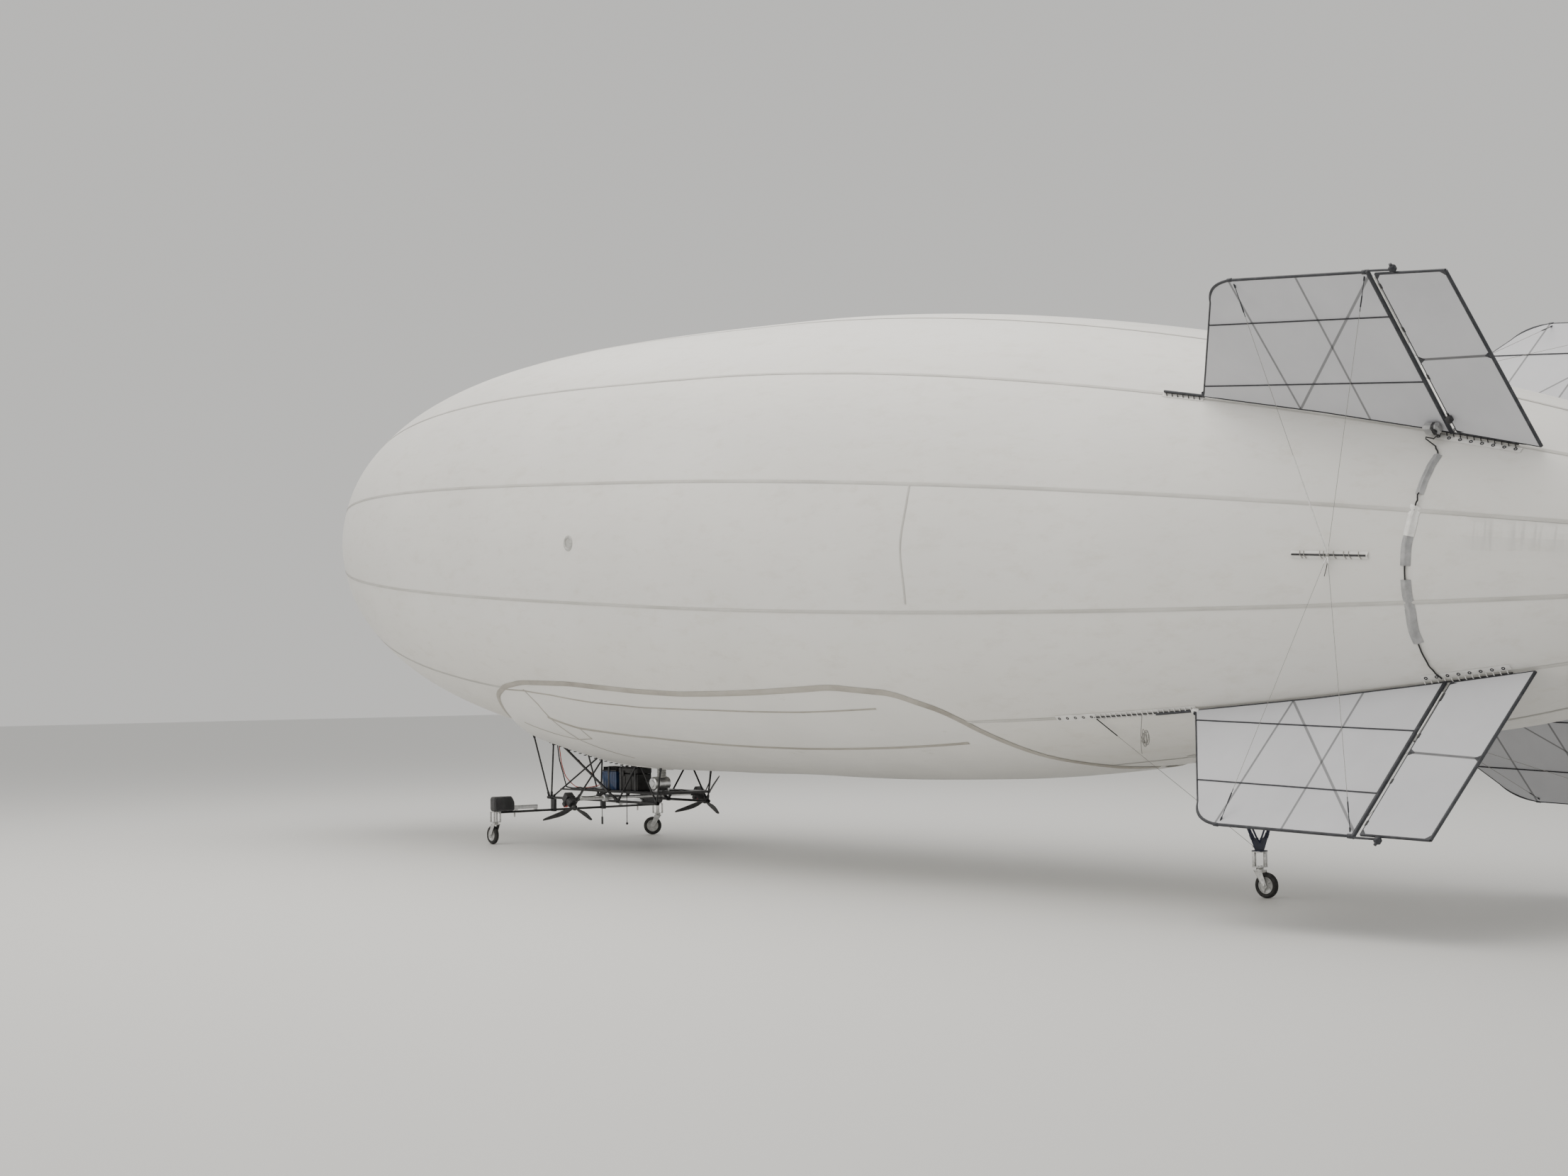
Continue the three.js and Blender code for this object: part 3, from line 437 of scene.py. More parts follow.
# The tail ring, the nose patch and the gas valve
# The gores end aft on a stiff domed cap; a round patch covers their tips at the nose. On the
# left a clear plastic valve is welded into the skin under a low clamping ring.

def drawn_line(name, paths, closed=False):
    """Lines through rows of points, as one curve object."""
    bpy.ops.object.select_all(action="DESELECT")
    bpy.ops.curve.primitive_nurbs_path_add(location=(0, 0, 0))
    line = bpy.context.object
    line.name = name
    line.data.splines.clear()
    for path in paths:
        spline = line.data.splines.new("POLY")
        spline.points.add(len(path) - 1)
        spline.use_cyclic_u = closed
        for point, place in zip(spline.points, path):
            point.co = (*place, 1)
    return line


def turned(name, profile, centre=(0, 0, 0), axis=(0, 0, 1), steps=32):
    """A round piece: a profile of (along, radius) pairs spun about an axis."""
    axis = Vector(axis).normalized()
    across = axis.orthogonal().normalized()
    centre = Vector(centre)
    drawn_line(name, [[centre + axis * along + across * out for along, out in profile]])
    bpy.ops.object.convert(target="MESH")
    bpy.ops.object.mode_set(mode="EDIT")
    bpy.ops.mesh.select_all(action="SELECT")
    bpy.ops.mesh.spin(steps=steps, angle=math.tau, center=centre, axis=axis)
    bpy.ops.object.mode_set(mode="OBJECT")
    return sew_closed(bpy.context.object, 0.0001)


def tubes(name, radius, paths, sides=10, closed=False):
    """Round tubes of one radius, each bent through its own row of points, as one piece."""
    line = drawn_line(name, paths, closed)
    line.data.bevel_depth = radius
    line.data.bevel_resolution = (sides - 4) // 2
    line.data.use_fill_caps = True
    bpy.ops.object.convert(target="MESH")
    return smooth(sew_closed(bpy.context.object, 0.0001), 50)


HULL_FRAME = Matrix.Translation(HULL_CENTRE) @ Matrix.Rotation(NOSE_UP, 4, "Y")


def placed(piece, frame_matrix):
    """Moves a piece from the frame it was modelled in, and applies its place to its mesh."""
    only(piece)
    piece.matrix_world = frame_matrix @ piece.matrix_world
    bpy.ops.object.transform_apply(location=True, rotation=True, scale=True)
    return piece


def applied(piece, kind, **settings):
    """Gives the active piece a modifier with these settings, and applies it."""
    bpy.ops.object.modifier_add(type=kind)
    modifier = piece.modifiers[-1]
    for setting, value in settings.items():
        setattr(modifier, setting, value)
    bpy.ops.object.modifier_apply(modifier=modifier.name)


tail_end = NOSE_X + HULL_LENGTH
tail_cap = turned("domed_tail_cap", [
    (tail_end - 0.020, TAIL_RING_RADIUS + 0.004),
    (tail_end + 0.016, TAIL_RING_RADIUS + 0.003),
    (tail_end + 0.022, TAIL_RING_RADIUS - 0.004),
    (tail_end + 0.044, 0.130),
    (tail_end + 0.062, 0.098),
    (tail_end + 0.073, 0.052),
    (tail_end + 0.077, 0.0),
], axis=(1, 0, 0), steps=48)
placed(tail_cap, HULL_FRAME)
smooth(tail_cap, 40)
moulded = mottled("moulded_white_plastic", (6, 4), [
    (0.35, (0.70, 0.69, 0.66)),
    (0.65, (0.78, 0.77, 0.74)),
], {"Roughness": 0.38}, (90, 2), 0.12, 0.001)
dress(tail_cap, moulded, "envelope_fabric")
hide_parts("tail_cap")
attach(tail_cap, "hull")

NOSE_PATCH_LENGTH = 0.035


def nose_patch_point(u, v):
    x = NOSE_X + NOSE_PATCH_LENGTH * u ** 2.2
    return on_hull(x, v * math.tau, 0.004 - 0.003 * u ** 6)


nose_patch = sew_closed(sheet_of_cloth("nose_patch", 14, 96, nose_patch_point))
smooth(nose_patch)
dress(nose_patch, coated, "envelope_fabric")
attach(nose_patch, "hull")

VALVE_X = -2.505
valve_ring = turned("gas_valve_ring", [
    (-0.004, 0.040),
    (0.007, 0.043),
    (0.010, 0.052),
    (0.008, 0.062),
    (0.001, 0.070),
    (-0.004, 0.071),
], steps=40)
valve_cap = turned("gas_valve_cap", [(0.002, 0.044), (0.005, 0.030), (0.006, 0.0)], steps=40)
screws = [
    turned(f"valve_screw_{k}", [(0.008, 0.0042), (0.0115, 0.0036), (0.012, 0.0)], (
        0.0565 * math.cos(k * math.tau / 10),
        0.0565 * math.sin(k * math.tau / 10),
        0,
    ), steps=8)
    for k in range(10)
]
gas_valve = joined("gas_valve", [valve_ring, valve_cap, *screws])
valve_place = HULL_FRAME @ Matrix.Translation((VALVE_X, -skin_radius(VALVE_X, math.pi / 2), 0))
placed(gas_valve, valve_place @ Matrix.Rotation(math.pi / 2, 4, "X"))
smooth(gas_valve, 40)
clear_grey = mottled("clouded_clear_plastic", (14, 3), [
    (0.40, (0.42, 0.42, 0.40)),
    (0.60, (0.55, 0.55, 0.53)),
], {"Roughness": 0.28, "Coat Weight": 0.4}, (120, 2), 0.10, 0.001)
dress(gas_valve, clear_grey, "envelope_fabric")
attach(gas_valve, "hull")


# The keel fairing
# A white fabric skin is taped on under the front of the hull and hangs as two lobes beside the
# gondola. Bolt ropes run in their lips, which are laced to the gondola's upper tubes.

# Columns: distance behind the nose, half width in degrees round the hull, depth below it.
FAIRING = [
    (3.26, 0, 0.0),
    (3.30, 6, 0.020),
    (3.40, 15, 0.050),
    (3.55, 22, 0.080),
    (3.86, 32, 0.100),
    (4.14, 41, 0.108),
    (4.50, 46, 0.124),
    (4.93, 49, 0.136),
    (5.35, 50, 0.122),
    (5.85, 51, 0.080),
    (6.50, 51, 0.036),
    (7.00, 51, 0.032),
    (7.60, 51.5, 0.024),
    (8.60, 53.5, 0.008),
    (9.70, 56, 0.006),
    (10.35, 54.4, 0.006),
    (10.79, 48.7, 0.006),
    (11.17, 37, 0.005),
    (11.465, 24, 0.004),
    (11.63, 19, 0.004),
    (11.74, 0, 0.0),
]
FAIRING_FRONT_X = NOSE_X + 3.37
FAIRING_REAR_X = NOSE_X + 11.74
SLOT_REAR_X = -3.44
SLOT_HALF_WIDTH = 0.36


def between_rows(table, place, column):
    """A table's value at a place along its first column."""
    for row, following in zip(table, table[1:]):
        if place < following[0]:
            share = max(0, (place - row[0]) / (following[0] - row[0]))
            return row[column] + (following[column] - row[column]) * share
    return table[-1][column]


def fairing_width(x):
    """Half the fairing's width, as an angle round the hull; its outline is a smooth curve."""
    offsets = (-0.10, -0.05, 0, 0.05, 0.10)
    width = sum(between_rows(FAIRING, x - NOSE_X + step, 1) for step in offsets) / 5
    closing = max(0, min(1, (FAIRING_REAR_X - x) / 0.30))
    return math.radians(width) * math.sqrt(1 - (1 - closing) ** 2)


def fairing_lift(x, share):
    """How far the fairing's skin stands off the hull: share is 0 at the keel, 1 at its edge."""
    offsets = (-0.16, -0.08, 0, 0.08, 0.16)
    depth = sum(between_rows(FAIRING, x - NOSE_X + step, 2) for step in offsets) / 5
    closing = max(0, min(1, (FAIRING_REAR_X - x) / 0.15))
    return 0.002 + closing * (0.010 + depth * (1 - share ** 4)) * (1 - abs(share) ** 10)


def on_fairing(x, turn, lift=0.0):
    """A point on whatever is outermost there, the fairing or the bare hull."""
    width = fairing_width(x)
    down = abs(turn % math.tau - math.pi)
    if width < 0.01 or down > width:
        return on_hull(x, turn, lift)
    return on_hull(x, turn, lift + fairing_lift(x, down / width))


def lip_turn(x):
    """The angle from the keel to the fairing's lip; behind the slot both lobes meet in one."""
    opened = max(0, min(1, (SLOT_REAR_X - x) / 0.30))
    rounded = math.sqrt(1 - (1 - opened) ** 2)
    return rounded * math.asin(SLOT_HALF_WIDTH / hull_radius(x))


def lobe_point(u, v, side):
    x = FAIRING_FRONT_X + (FAIRING_REAR_X - FAIRING_FRONT_X) * u ** 1.25
    width = fairing_width(x)
    lip = min(lip_turn(x), width)
    down = lip + (width - lip) * v
    return on_fairing(x, math.pi - side * down * 0.9999)


lobes = [
    sheet_of_cloth(f"fairing_lobe_{side}", 190, 26, lambda u, v, side=side: lobe_point(u, v, side))
    for side in (1, -1)
]
fairing = sew_closed(joined("keel_fairing_skin", lobes), 0.0008)
FAIRING_THICKNESS = 0.0016
applied(fairing, "SOLIDIFY", thickness=FAIRING_THICKNESS, offset=-1)
smooth(fairing, 50)

# The fairing's fabric is lighter than the hull's and shows soft creases and a few rubbed marks.
fairing_fabric, nodes, links, shader = node_material("fairing_fabric")
clouds = ramp(nodes, links, noise(nodes, links, "Object", 0.9, 4), [
    (0.30, (0.755, 0.745, 0.715)),
    (0.70, (0.815, 0.805, 0.775)),
])
rubbed = ramp(nodes, links, noise(nodes, links, "Object", 3.4, 9, 0.72, (0.5, 1, 2.2)), [
    (0.30, (0.80, 0.79, 0.76)),
    (0.37, (1.0, 1.0, 1.0)),
])
links.new(overlay(nodes, links, 0.8, clouds, rubbed), shader.inputs["Base Color"])
shader.inputs["Roughness"].default_value = 0.52
shader.inputs["Specular IOR Level"].default_value = 0.34
soft = relief(
    nodes, links, shader, noise(nodes, links, "Object", 1.6, 4, 0.6, (0.5, 1.5, 1.5)), 0.3, 0.05
)
relief(nodes, links, shader, noise(nodes, links, "Object", 260, 1), 0.05, 0.001, soft)
dress(fairing, fairing_fabric, "envelope_fabric")
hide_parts("keel_fairing")
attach(fairing, "hull")

# A wide brown-grey tape closes the fairing's edge on the hull, and thinner ones its own seams.
# Seams of the left lobe, as rows of (distance behind the nose, degrees up from the keel).
EDGE_TAPE_WIDTH = 0.052
FAIRING_SEAMS = [
    ("long_seam", 0.016, [
        (4.40, 44.6), (4.9, 46.2), (5.4, 46.4), (6.1, 45.6), (6.9, 45.7), (8.0, 47.4), (9.2, 48.5),
        (10.1, 50),
    ]),
    ("slanting_seam", 0.020, [(4.90, 46.6), (5.06, 42.6), (5.15, 37.9), (5.23, 34.2), (5.31, 30.4)]),
    ("lower_seam", 0.030, [
        (5.10, 38.6), (5.54, 35.7), (6.4, 33.7), (7.5, 33.7), (8.8, 34.8), (10.0, 36.5), (10.8, 38),
    ]),
    ("front_seam", 0.013, [(4.40, 33.0), (4.87, 31.8), (5.31, 30.4), (5.50, 26.1), (5.75, 20.5)]),
    ("corner_patch", 0.013, [(5.54, 35.7), (5.56, 31.4), (5.31, 30.4)]),
]


def along_rows(rows, share):
    """A point at a share of the way through a row of points."""
    place = share * (len(rows) - 1)
    step = min(int(place), len(rows) - 2)
    mix = place - step
    return [a + (b - a) * mix for a, b in zip(rows[step], rows[step + 1])]


edge_tapes = []
seam_strips = []
for side in (1, -1):
    def edge_path(share, side=side):
        x = FAIRING_FRONT_X - 0.01 + (FAIRING_REAR_X - FAIRING_FRONT_X) * share ** 1.25
        return x, math.pi - side * max(lip_turn(x) * 0.98, fairing_width(x))
    edge_tapes.append(strip_on(
        on_fairing, f"edge_tape_{side}", edge_path, EDGE_TAPE_WIDTH, 0.006, 200, 6
    ))
    for name, width, rows in FAIRING_SEAMS:
        def fairing_seam_path(share, rows=rows, side=side):
            behind_nose, down = along_rows(rows, share)
            return NOSE_X + behind_nose, math.pi - side * math.radians(down)
        seam_strips.append(strip_on(
            on_fairing, f"{name}_{side}", fairing_seam_path, width, 0.0032, 80, 3
        ))
fairing_tapes = joined("fairing_tapes", edge_tapes + seam_strips)
smooth(fairing_tapes)
brown_tape = mottled("brown_grey_cloth_tape", (4, 6, 0.7, (0.4, 1, 1)), [
    (0.30, (0.30, 0.275, 0.24)),
    (0.50, (0.42, 0.395, 0.35)),
    (0.72, (0.50, 0.475, 0.43)),
], {"Roughness": 0.6}, (70, 3), 0.25, 0.002)
dress(fairing_tapes, brown_tape, "envelope_fabric")
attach(fairing_tapes, "hull")

# The lips are hemmed over a bolt rope, and black loops a hand's width apart lace them down.
LIP_FRONT_X = FAIRING_FRONT_X + 0.03
LIP_REAR_X = SLOT_REAR_X - 0.03
LOOP_SPACING = 0.093


def on_lip(x, side, lift=0.0):
    return on_fairing(x, math.pi - side * lip_turn(x), lift)


ropes = []
loops = []
laces = []
for side in (1, -1):
    steps = 120
    ropes.append([
        on_lip(LIP_FRONT_X + (LIP_REAR_X - LIP_FRONT_X) * (k / steps), side) for k in range(steps + 1)
    ])
    count = int((LIP_REAR_X - 0.25 - LIP_FRONT_X) / LOOP_SPACING)
    for k in range(count):
        x = LIP_FRONT_X + 0.04 + k * LOOP_SPACING
        middle = on_lip(x, side)
        outwards = (on_lip(x, side, 1) - middle).normalized()
        inwards = Vector((0, side, 0.25)).normalized()
        loops.append([
            middle - inwards * 0.030 + outwards * 0.004,
            middle - inwards * 0.006 + outwards * 0.011,
            middle + inwards * 0.008 + outwards * 0.008,
            middle + inwards * 0.014 - outwards * 0.003,
            middle + inwards * 0.006 - outwards * 0.014,
            middle - inwards * 0.010 - outwards * 0.010,
        ])
bolt_ropes = tubes("fairing_bolt_ropes", 0.0075, ropes, sides=8)
dress(bolt_ropes, fairing_fabric, "envelope_fabric")
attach(bolt_ropes, "hull")
lacing_loops = tubes("fairing_lacing_loops", 0.0052, loops, sides=6)


def upper_chord_height(x):
    """The height of the gondola's upper tubes, which run a hand's width under the hull."""
    along = x / math.cos(NOSE_UP)
    drop = skin_radius(along, math.pi) / math.cos(NOSE_UP)
    return HULL_CENTRE.z - along * math.sin(NOSE_UP) - drop - 0.070


for side in (1, -1):
    lace = []
    for k in range(int((LIP_REAR_X - 0.40 - FAIRING_FRONT_X) / LOOP_SPACING)):
        x = LIP_FRONT_X + 0.04 + k * LOOP_SPACING
        lip_point = on_lip(x, side, -0.012)
        chord_x = lip_point.x + LOOP_SPACING / 2
        chord_point = Vector((chord_x, side * -0.300, upper_chord_height(chord_x)))
        if chord_x > -5.89:
            lace.append(lip_point)
            lace.append(chord_point + Vector((0, side * -0.012, 0.008)))
            lace.append(chord_point + Vector((0.010, side * -0.002, 0.015)))
    laces.append(lace)
lip_laces = tubes("fairing_laces", 0.0018, laces, sides=6)
fairing_lacing = joined("fairing_lacing", [lacing_loops, lip_laces])
black_cord = mottled("black_braided_cord", (220, 3), [
    (0.35, (0.012, 0.012, 0.013)),
    (0.65, (0.040, 0.040, 0.042)),
], {"Roughness": 0.75}, (420, 2), 0.5, 0.001)
dress(fairing_lacing, black_cord, "black_cable")
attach(fairing_lacing, "hull")


# The fins
# Four like fins stand in an X on the tail. Each is a welded frame of thin grey tubes with
# fabric drawn over both of its faces; two battens lie in pockets across each face.

# A fin is modelled in its own frame: x along the hull, z outwards from its axis, y aside.
FIN_TURNS = {
    "upper_left": math.radians(45),
    "lower_left": math.radians(135),
    "upper_right": math.radians(-45),
    "lower_right": math.radians(-135),
}
FIN_TUBE = 0.0105
SPAR_TUBE = 0.0145
FIN_ROOT_CLEARANCE = 0.026
FIN_ROOT_FRONT = 3.990
FIN_ROOT_REAR = 5.805
FIN_LEADING_TOP = (4.525, 2.300)
FIN_CORNER = (4.582, 2.451)
FIN_CORNER_TOP = (4.790, 2.458)
FIN_TIP_REAR = (5.845, 2.412)
FIN_POSTS = [
    ((4.745, None), (4.775, 2.457)),
    ((5.252, None), (5.305, 2.434)),
    ((4.745, None), (5.842, 2.385)),
]
FIN_BATTENS = [(1.612, 1.542), (2.122, 2.068)]


def root_out(x):
    return hull_radius(x) + FIN_ROOT_CLEARANCE


def between(start, end, share):
    return tuple(a + (b - a) * share for a, b in zip(start, end))


FIN_ROOT_START = (FIN_ROOT_FRONT, root_out(FIN_ROOT_FRONT))
FIN_ROOT_END = (FIN_ROOT_REAR, root_out(FIN_ROOT_REAR))


def leading_edge(share):
    """The fin's front edge from its root to the end of its rounded corner."""
    if share < 0.75:
        return between(FIN_ROOT_START, FIN_LEADING_TOP, share / 0.75)
    turn = (share - 0.75) / 0.25
    lower = between(FIN_LEADING_TOP, FIN_CORNER, turn)
    upper = between(FIN_CORNER, FIN_CORNER_TOP, turn)
    return between(lower, upper, turn)


def root_edge(share):
    x = FIN_ROOT_FRONT + (FIN_ROOT_REAR - FIN_ROOT_FRONT) * share
    middle = (4.9, root_out(4.9))
    if x < middle[0]:
        return between(FIN_ROOT_START, middle, (x - FIN_ROOT_FRONT) / (middle[0] - FIN_ROOT_FRONT))
    return between(middle, FIN_ROOT_END, (x - middle[0]) / (FIN_ROOT_REAR - middle[0]))


def fin_patch(u, v):
    """A point of the fin's face: u from its front edge to the spar, v from its root to its tip."""
    root, tip = root_edge(u), between(FIN_CORNER_TOP, FIN_TIP_REAR, u)
    front, rear = leading_edge(v), between(FIN_ROOT_END, FIN_TIP_REAR, v)
    corners = [FIN_ROOT_START, FIN_ROOT_END, FIN_CORNER_TOP, FIN_TIP_REAR]
    point = []
    for axis in (0, 1):
        edges = (1 - v) * root[axis] + v * tip[axis] + (1 - u) * front[axis] + u * rear[axis]
        near = (1 - v) * ((1 - u) * corners[0][axis] + u * corners[1][axis])
        far = v * ((1 - u) * corners[2][axis] + u * corners[3][axis])
        point.append(edges - near - far)
    return tuple(point)


def spar_at(out):
    share = (out - FIN_ROOT_END[1]) / (FIN_TIP_REAR[1] - FIN_ROOT_END[1])
    return (FIN_ROOT_REAR + share * (FIN_TIP_REAR[0] - FIN_ROOT_REAR), out)


def front_edge_at(out):
    share = (out - FIN_ROOT_START[1]) / (FIN_LEADING_TOP[1] - FIN_ROOT_START[1])
    return (FIN_ROOT_FRONT + share * (FIN_LEADING_TOP[0] - FIN_ROOT_FRONT), out)


def in_plane(points, aside=0.0):
    return [Vector((x, aside, out)) for x, out in points]


def from_line(point, line):
    """The distance of a point in the fin's plane from a line between two others."""
    start, end = Vector(line[0]), Vector(line[1])
    along = end - start
    share = max(0, min(1, (Vector(point) - start).dot(along) / along.length_squared))
    return (Vector(point) - start - along * share).length


posts = [[(x, root_out(x) if out is None else out) for x, out in line] for line in FIN_POSTS]
battens = [[front_edge_at(front), spar_at(rear)] for front, rear in FIN_BATTENS]
outline = [leading_edge(k / 40) for k in range(41)]
outline += [between(FIN_CORNER_TOP, FIN_TIP_REAR, k / 8) for k in range(1, 9)]
outline += [root_edge(k / 12) for k in range(12, 0, -1)]
outline_tube = tubes("fin_outline", FIN_TUBE, [in_plane(outline)], sides=12, closed=True)
post_tubes = tubes("fin_posts", 0.0085, [in_plane(line) for line in posts], sides=8)
batten_rods = tubes("fin_battens", 0.0048, [
    in_plane(line, side * 0.0115) for line in battens for side in (1, -1)
], sides=8)


def sleeve(name, centre, along, radius, length, sides=14):
    """A short collar clamped round a tube, with broken edges."""
    half = length / 2
    edge = min(0.003, radius * 0.2)
    return turned(name, [
        (-half, radius * 0.6),
        (-half, radius - edge),
        (-half + edge, radius),
        (half - edge, radius),
        (half, radius - edge),
        (half, radius * 0.6),
    ], centre, along, sides)


fin_joints = [
    sleeve(
        "corner_joint", (FIN_CORNER_TOP[0] - 0.01, 0, FIN_CORNER_TOP[1] + 0.001), (1, 0, 0), 0.0130,
        0.040,
    ),
    sleeve(
        "front_foot_joint", (FIN_ROOT_START[0], 0, FIN_ROOT_START[1] + 0.014), (0.5, 0, 1), 0.0135,
        0.034,
    ),
    sleeve("spar_top_joint", (5.822, 0, 2.413), (1, 0, -0.04), 0.0150, 0.036),
]
# The tip tube runs on past the spar as an arm, whose end holds a guide for the surface.
TIP_ARM_END = (6.040, 2.409)
tip_arm = tubes("tip_arm", 0.0075, [in_plane([(5.81, 2.4175), (5.86, 2.4200), TIP_ARM_END])], sides=10)
tip_knob = turned("tip_knob", [
    (-0.022, 0.0),
    (-0.022, 0.017),
    (-0.014, 0.0245),
    (0.008, 0.0245),
    (0.016, 0.017),
    (0.020, 0.010),
    (0.034, 0.010),
    (0.036, 0.0),
], (TIP_ARM_END[0] - 0.008, 0, TIP_ARM_END[1] + 0.012), (0, 0, 1), 16)
front_rail = tubes("front_rail", 0.0085, [
    in_plane([(FIN_ROOT_FRONT, root_out(FIN_ROOT_FRONT)), (3.66, root_out(3.66))])
], sides=10)
fin_frame_model = joined("fin_frame_model", [
    outline_tube, post_tubes, batten_rods, tip_arm, tip_knob, front_rail, *fin_joints
])
smooth(fin_frame_model, 45)

grey_tube = mottled("painted_grey_tube", (22, 5, 0.6), [
    (0.35, (0.024, 0.026, 0.032)),
    (0.60, (0.040, 0.042, 0.050)),
    (0.80, (0.080, 0.081, 0.090)),
], {"Roughness": 0.42, "Metallic": 0.25}, (150, 2), 0.12, 0.001)

spar_model = tubes("fin_spar_model", SPAR_TUBE, [
    in_plane([(FIN_ROOT_END[0], FIN_ROOT_END[1] - 0.010), (FIN_TIP_REAR[0], FIN_TIP_REAR[1] + 0.010)])
], sides=16)
# A white cord fills the hinge line behind the spar, over the top of an upper fin and the foot
# of a lower one: it is a painted highlight, standing for the bright reflection along the spar.
SPAR_HIGHLIGHT_CORDS = {
    "upper": (0.56, 0.97),
    "lower": (0.06, 0.34),
}
SPAR_HIGHLIGHT_BEHIND = 0.0262


def spar_highlight_cord(name, first, last):
    ends = []
    for share in (first, last):
        x, out = between(FIN_ROOT_END, FIN_TIP_REAR, share)
        ends.append((x + SPAR_HIGHLIGHT_BEHIND, out))
    return tubes(name, 0.0068, [in_plane(ends)], sides=10)


# White cord, used for real cords and also for the spar's painted highlight.
white_cord = mottled("white_cord_and_spar_highlight", (60, 3), [
    (0.35, (0.72, 0.71, 0.69)),
    (0.65, (0.86, 0.86, 0.84)),
], {"Roughness": 0.55}, (260, 2), 0.3, 0.001)
black_fitting = mottled("black_moulded_fitting", (35, 4), [
    (0.35, (0.014, 0.014, 0.016)),
    (0.68, (0.038, 0.038, 0.041)),
], {"Roughness": 0.48}, (180, 2), 0.2, 0.001)

# The cloth sags a little between the tubes and battens that it is drawn over.
COVER_ASIDE = 0.0085
COVER_SAG = 0.0055
supports = posts + battens + [
    [FIN_ROOT_START, FIN_LEADING_TOP],
    [FIN_CORNER_TOP, FIN_TIP_REAR],
    [FIN_ROOT_START, FIN_ROOT_END],
    [FIN_ROOT_END, FIN_TIP_REAR],
]


def mark_plane(piece):
    """Keeps each point's place in the fin's plane, which the cloth's pattern follows."""
    plane = piece.data.attributes.new("fin_plane", "FLOAT_VECTOR", "POINT")
    for point in piece.data.vertices:
        plane.data[point.index].vector = (point.co.x, point.co.z, 0)


def cover_point(u, v, side):
    x, out = fin_patch(u, v)
    away = min(from_line((x, out), line) for line in supports)
    sag = COVER_SAG * (1 - math.exp(-(away / 0.10) ** 1.5))
    return Vector((x, side * (COVER_ASIDE - sag), out))


cover_faces = [
    sheet_of_cloth(f"fin_cloth_{side}", 72, 60, lambda u, v, side=side: cover_point(u, v, side))
    for side in (1, -1)
]
for face in cover_faces:
    mark_plane(face)
fin_cover_model = smooth(joined("fin_cover_model", cover_faces), 60)


def painted_tube_shadow(nodes, links, plane, line, half_width, darkness):
    """A soft painted shadow where cloth lies on a tube behind it: its factor is 1 away from the line.
    """
    (ax, az), (bx, bz) = line
    length = math.hypot(bx - ax, bz - az)
    across = ((bz - az) / length, -(bx - ax) / length)
    dot = nodes.new("ShaderNodeVectorMath")
    dot.operation = "DOT_PRODUCT"
    dot.inputs[1].default_value = (across[0], across[1], 0)
    links.new(plane, dot.inputs[0])
    line_place = across[0] * ax + across[1] * az
    offset = arithmetic(nodes, links, "SUBTRACT", dot.outputs["Value"], line_place)
    size = arithmetic(nodes, links, "ABSOLUTE", offset)
    edge = nodes.new("ShaderNodeMapRange")
    edge.interpolation_type = "SMOOTHSTEP"
    edge.inputs["From Min"].default_value = half_width * 0.75
    edge.inputs["From Max"].default_value = half_width * 1.2
    edge.inputs["To Min"].default_value = darkness
    edge.inputs["To Max"].default_value = 1.0
    links.new(size, edge.inputs["Value"])
    return edge.outputs["Result"]


def thin_cloth(name, lines, light, dark):
    """The fins' translucent cloth: a fine weave, faint clouding, and painted shadows of the tubes
    behind it.
    """
    material, nodes, links, shader = node_material(name)
    plane = nodes.new("ShaderNodeAttribute")
    plane.attribute_name = "fin_plane"
    shade = None
    for line, half_width, darkness in lines:
        factor = painted_tube_shadow(nodes, links, plane.outputs["Vector"], line, half_width, darkness)
        shade = factor if shade is None else arithmetic(nodes, links, "MULTIPLY", shade, factor)
    clouds = ramp(nodes, links, noise(nodes, links, "Object", 1.7, 4, 0.6), [
        (0.30, dark),
        (0.70, light),
    ])
    # Painted shadow: the cloth's colour is darkened along each tube, in place of light through the
    # cloth.
    shadow = ramp(nodes, links, shade, [(0.0, (0.0, 0.0, 0.0)), (1.0, (1, 1, 1))])
    links.new(overlay(nodes, links, 1.0, clouds, shadow), shader.inputs["Base Color"])
    shader.inputs["Roughness"].default_value = 0.55
    shader.inputs["Specular IOR Level"].default_value = 0.30
    shader.inputs["Sheen Weight"].default_value = 0.10
    drawn = relief(nodes, links, shader, noise(nodes, links, "Object", 2.6, 3), 0.18, 0.03)
    relief(nodes, links, shader, noise(nodes, links, "Object", 320, 1), 0.06, 0.001, drawn)
    return material


# The posts behind the fin cloth are painted into its colour as shadows.
fin_cloth = thin_cloth(
    "translucent_fin_cloth",
    [(line, 0.0090, 0.42) for line in posts],
    (0.60, 0.605, 0.635),
    (0.545, 0.55, 0.58),
)


def copy_of(piece, name, frame_matrix):
    """A copy of a model with its own mesh, put in its place."""
    only(piece)
    bpy.ops.object.duplicate(linked=False)
    copied = bpy.context.object
    copied.name = name
    return placed(copied, frame_matrix)


def put_away(*models):
    """Removes the models that copies were taken from."""
    bpy.ops.object.select_all(action="DESELECT")
    for model in models:
        model.select_set(True)
    bpy.ops.object.delete()


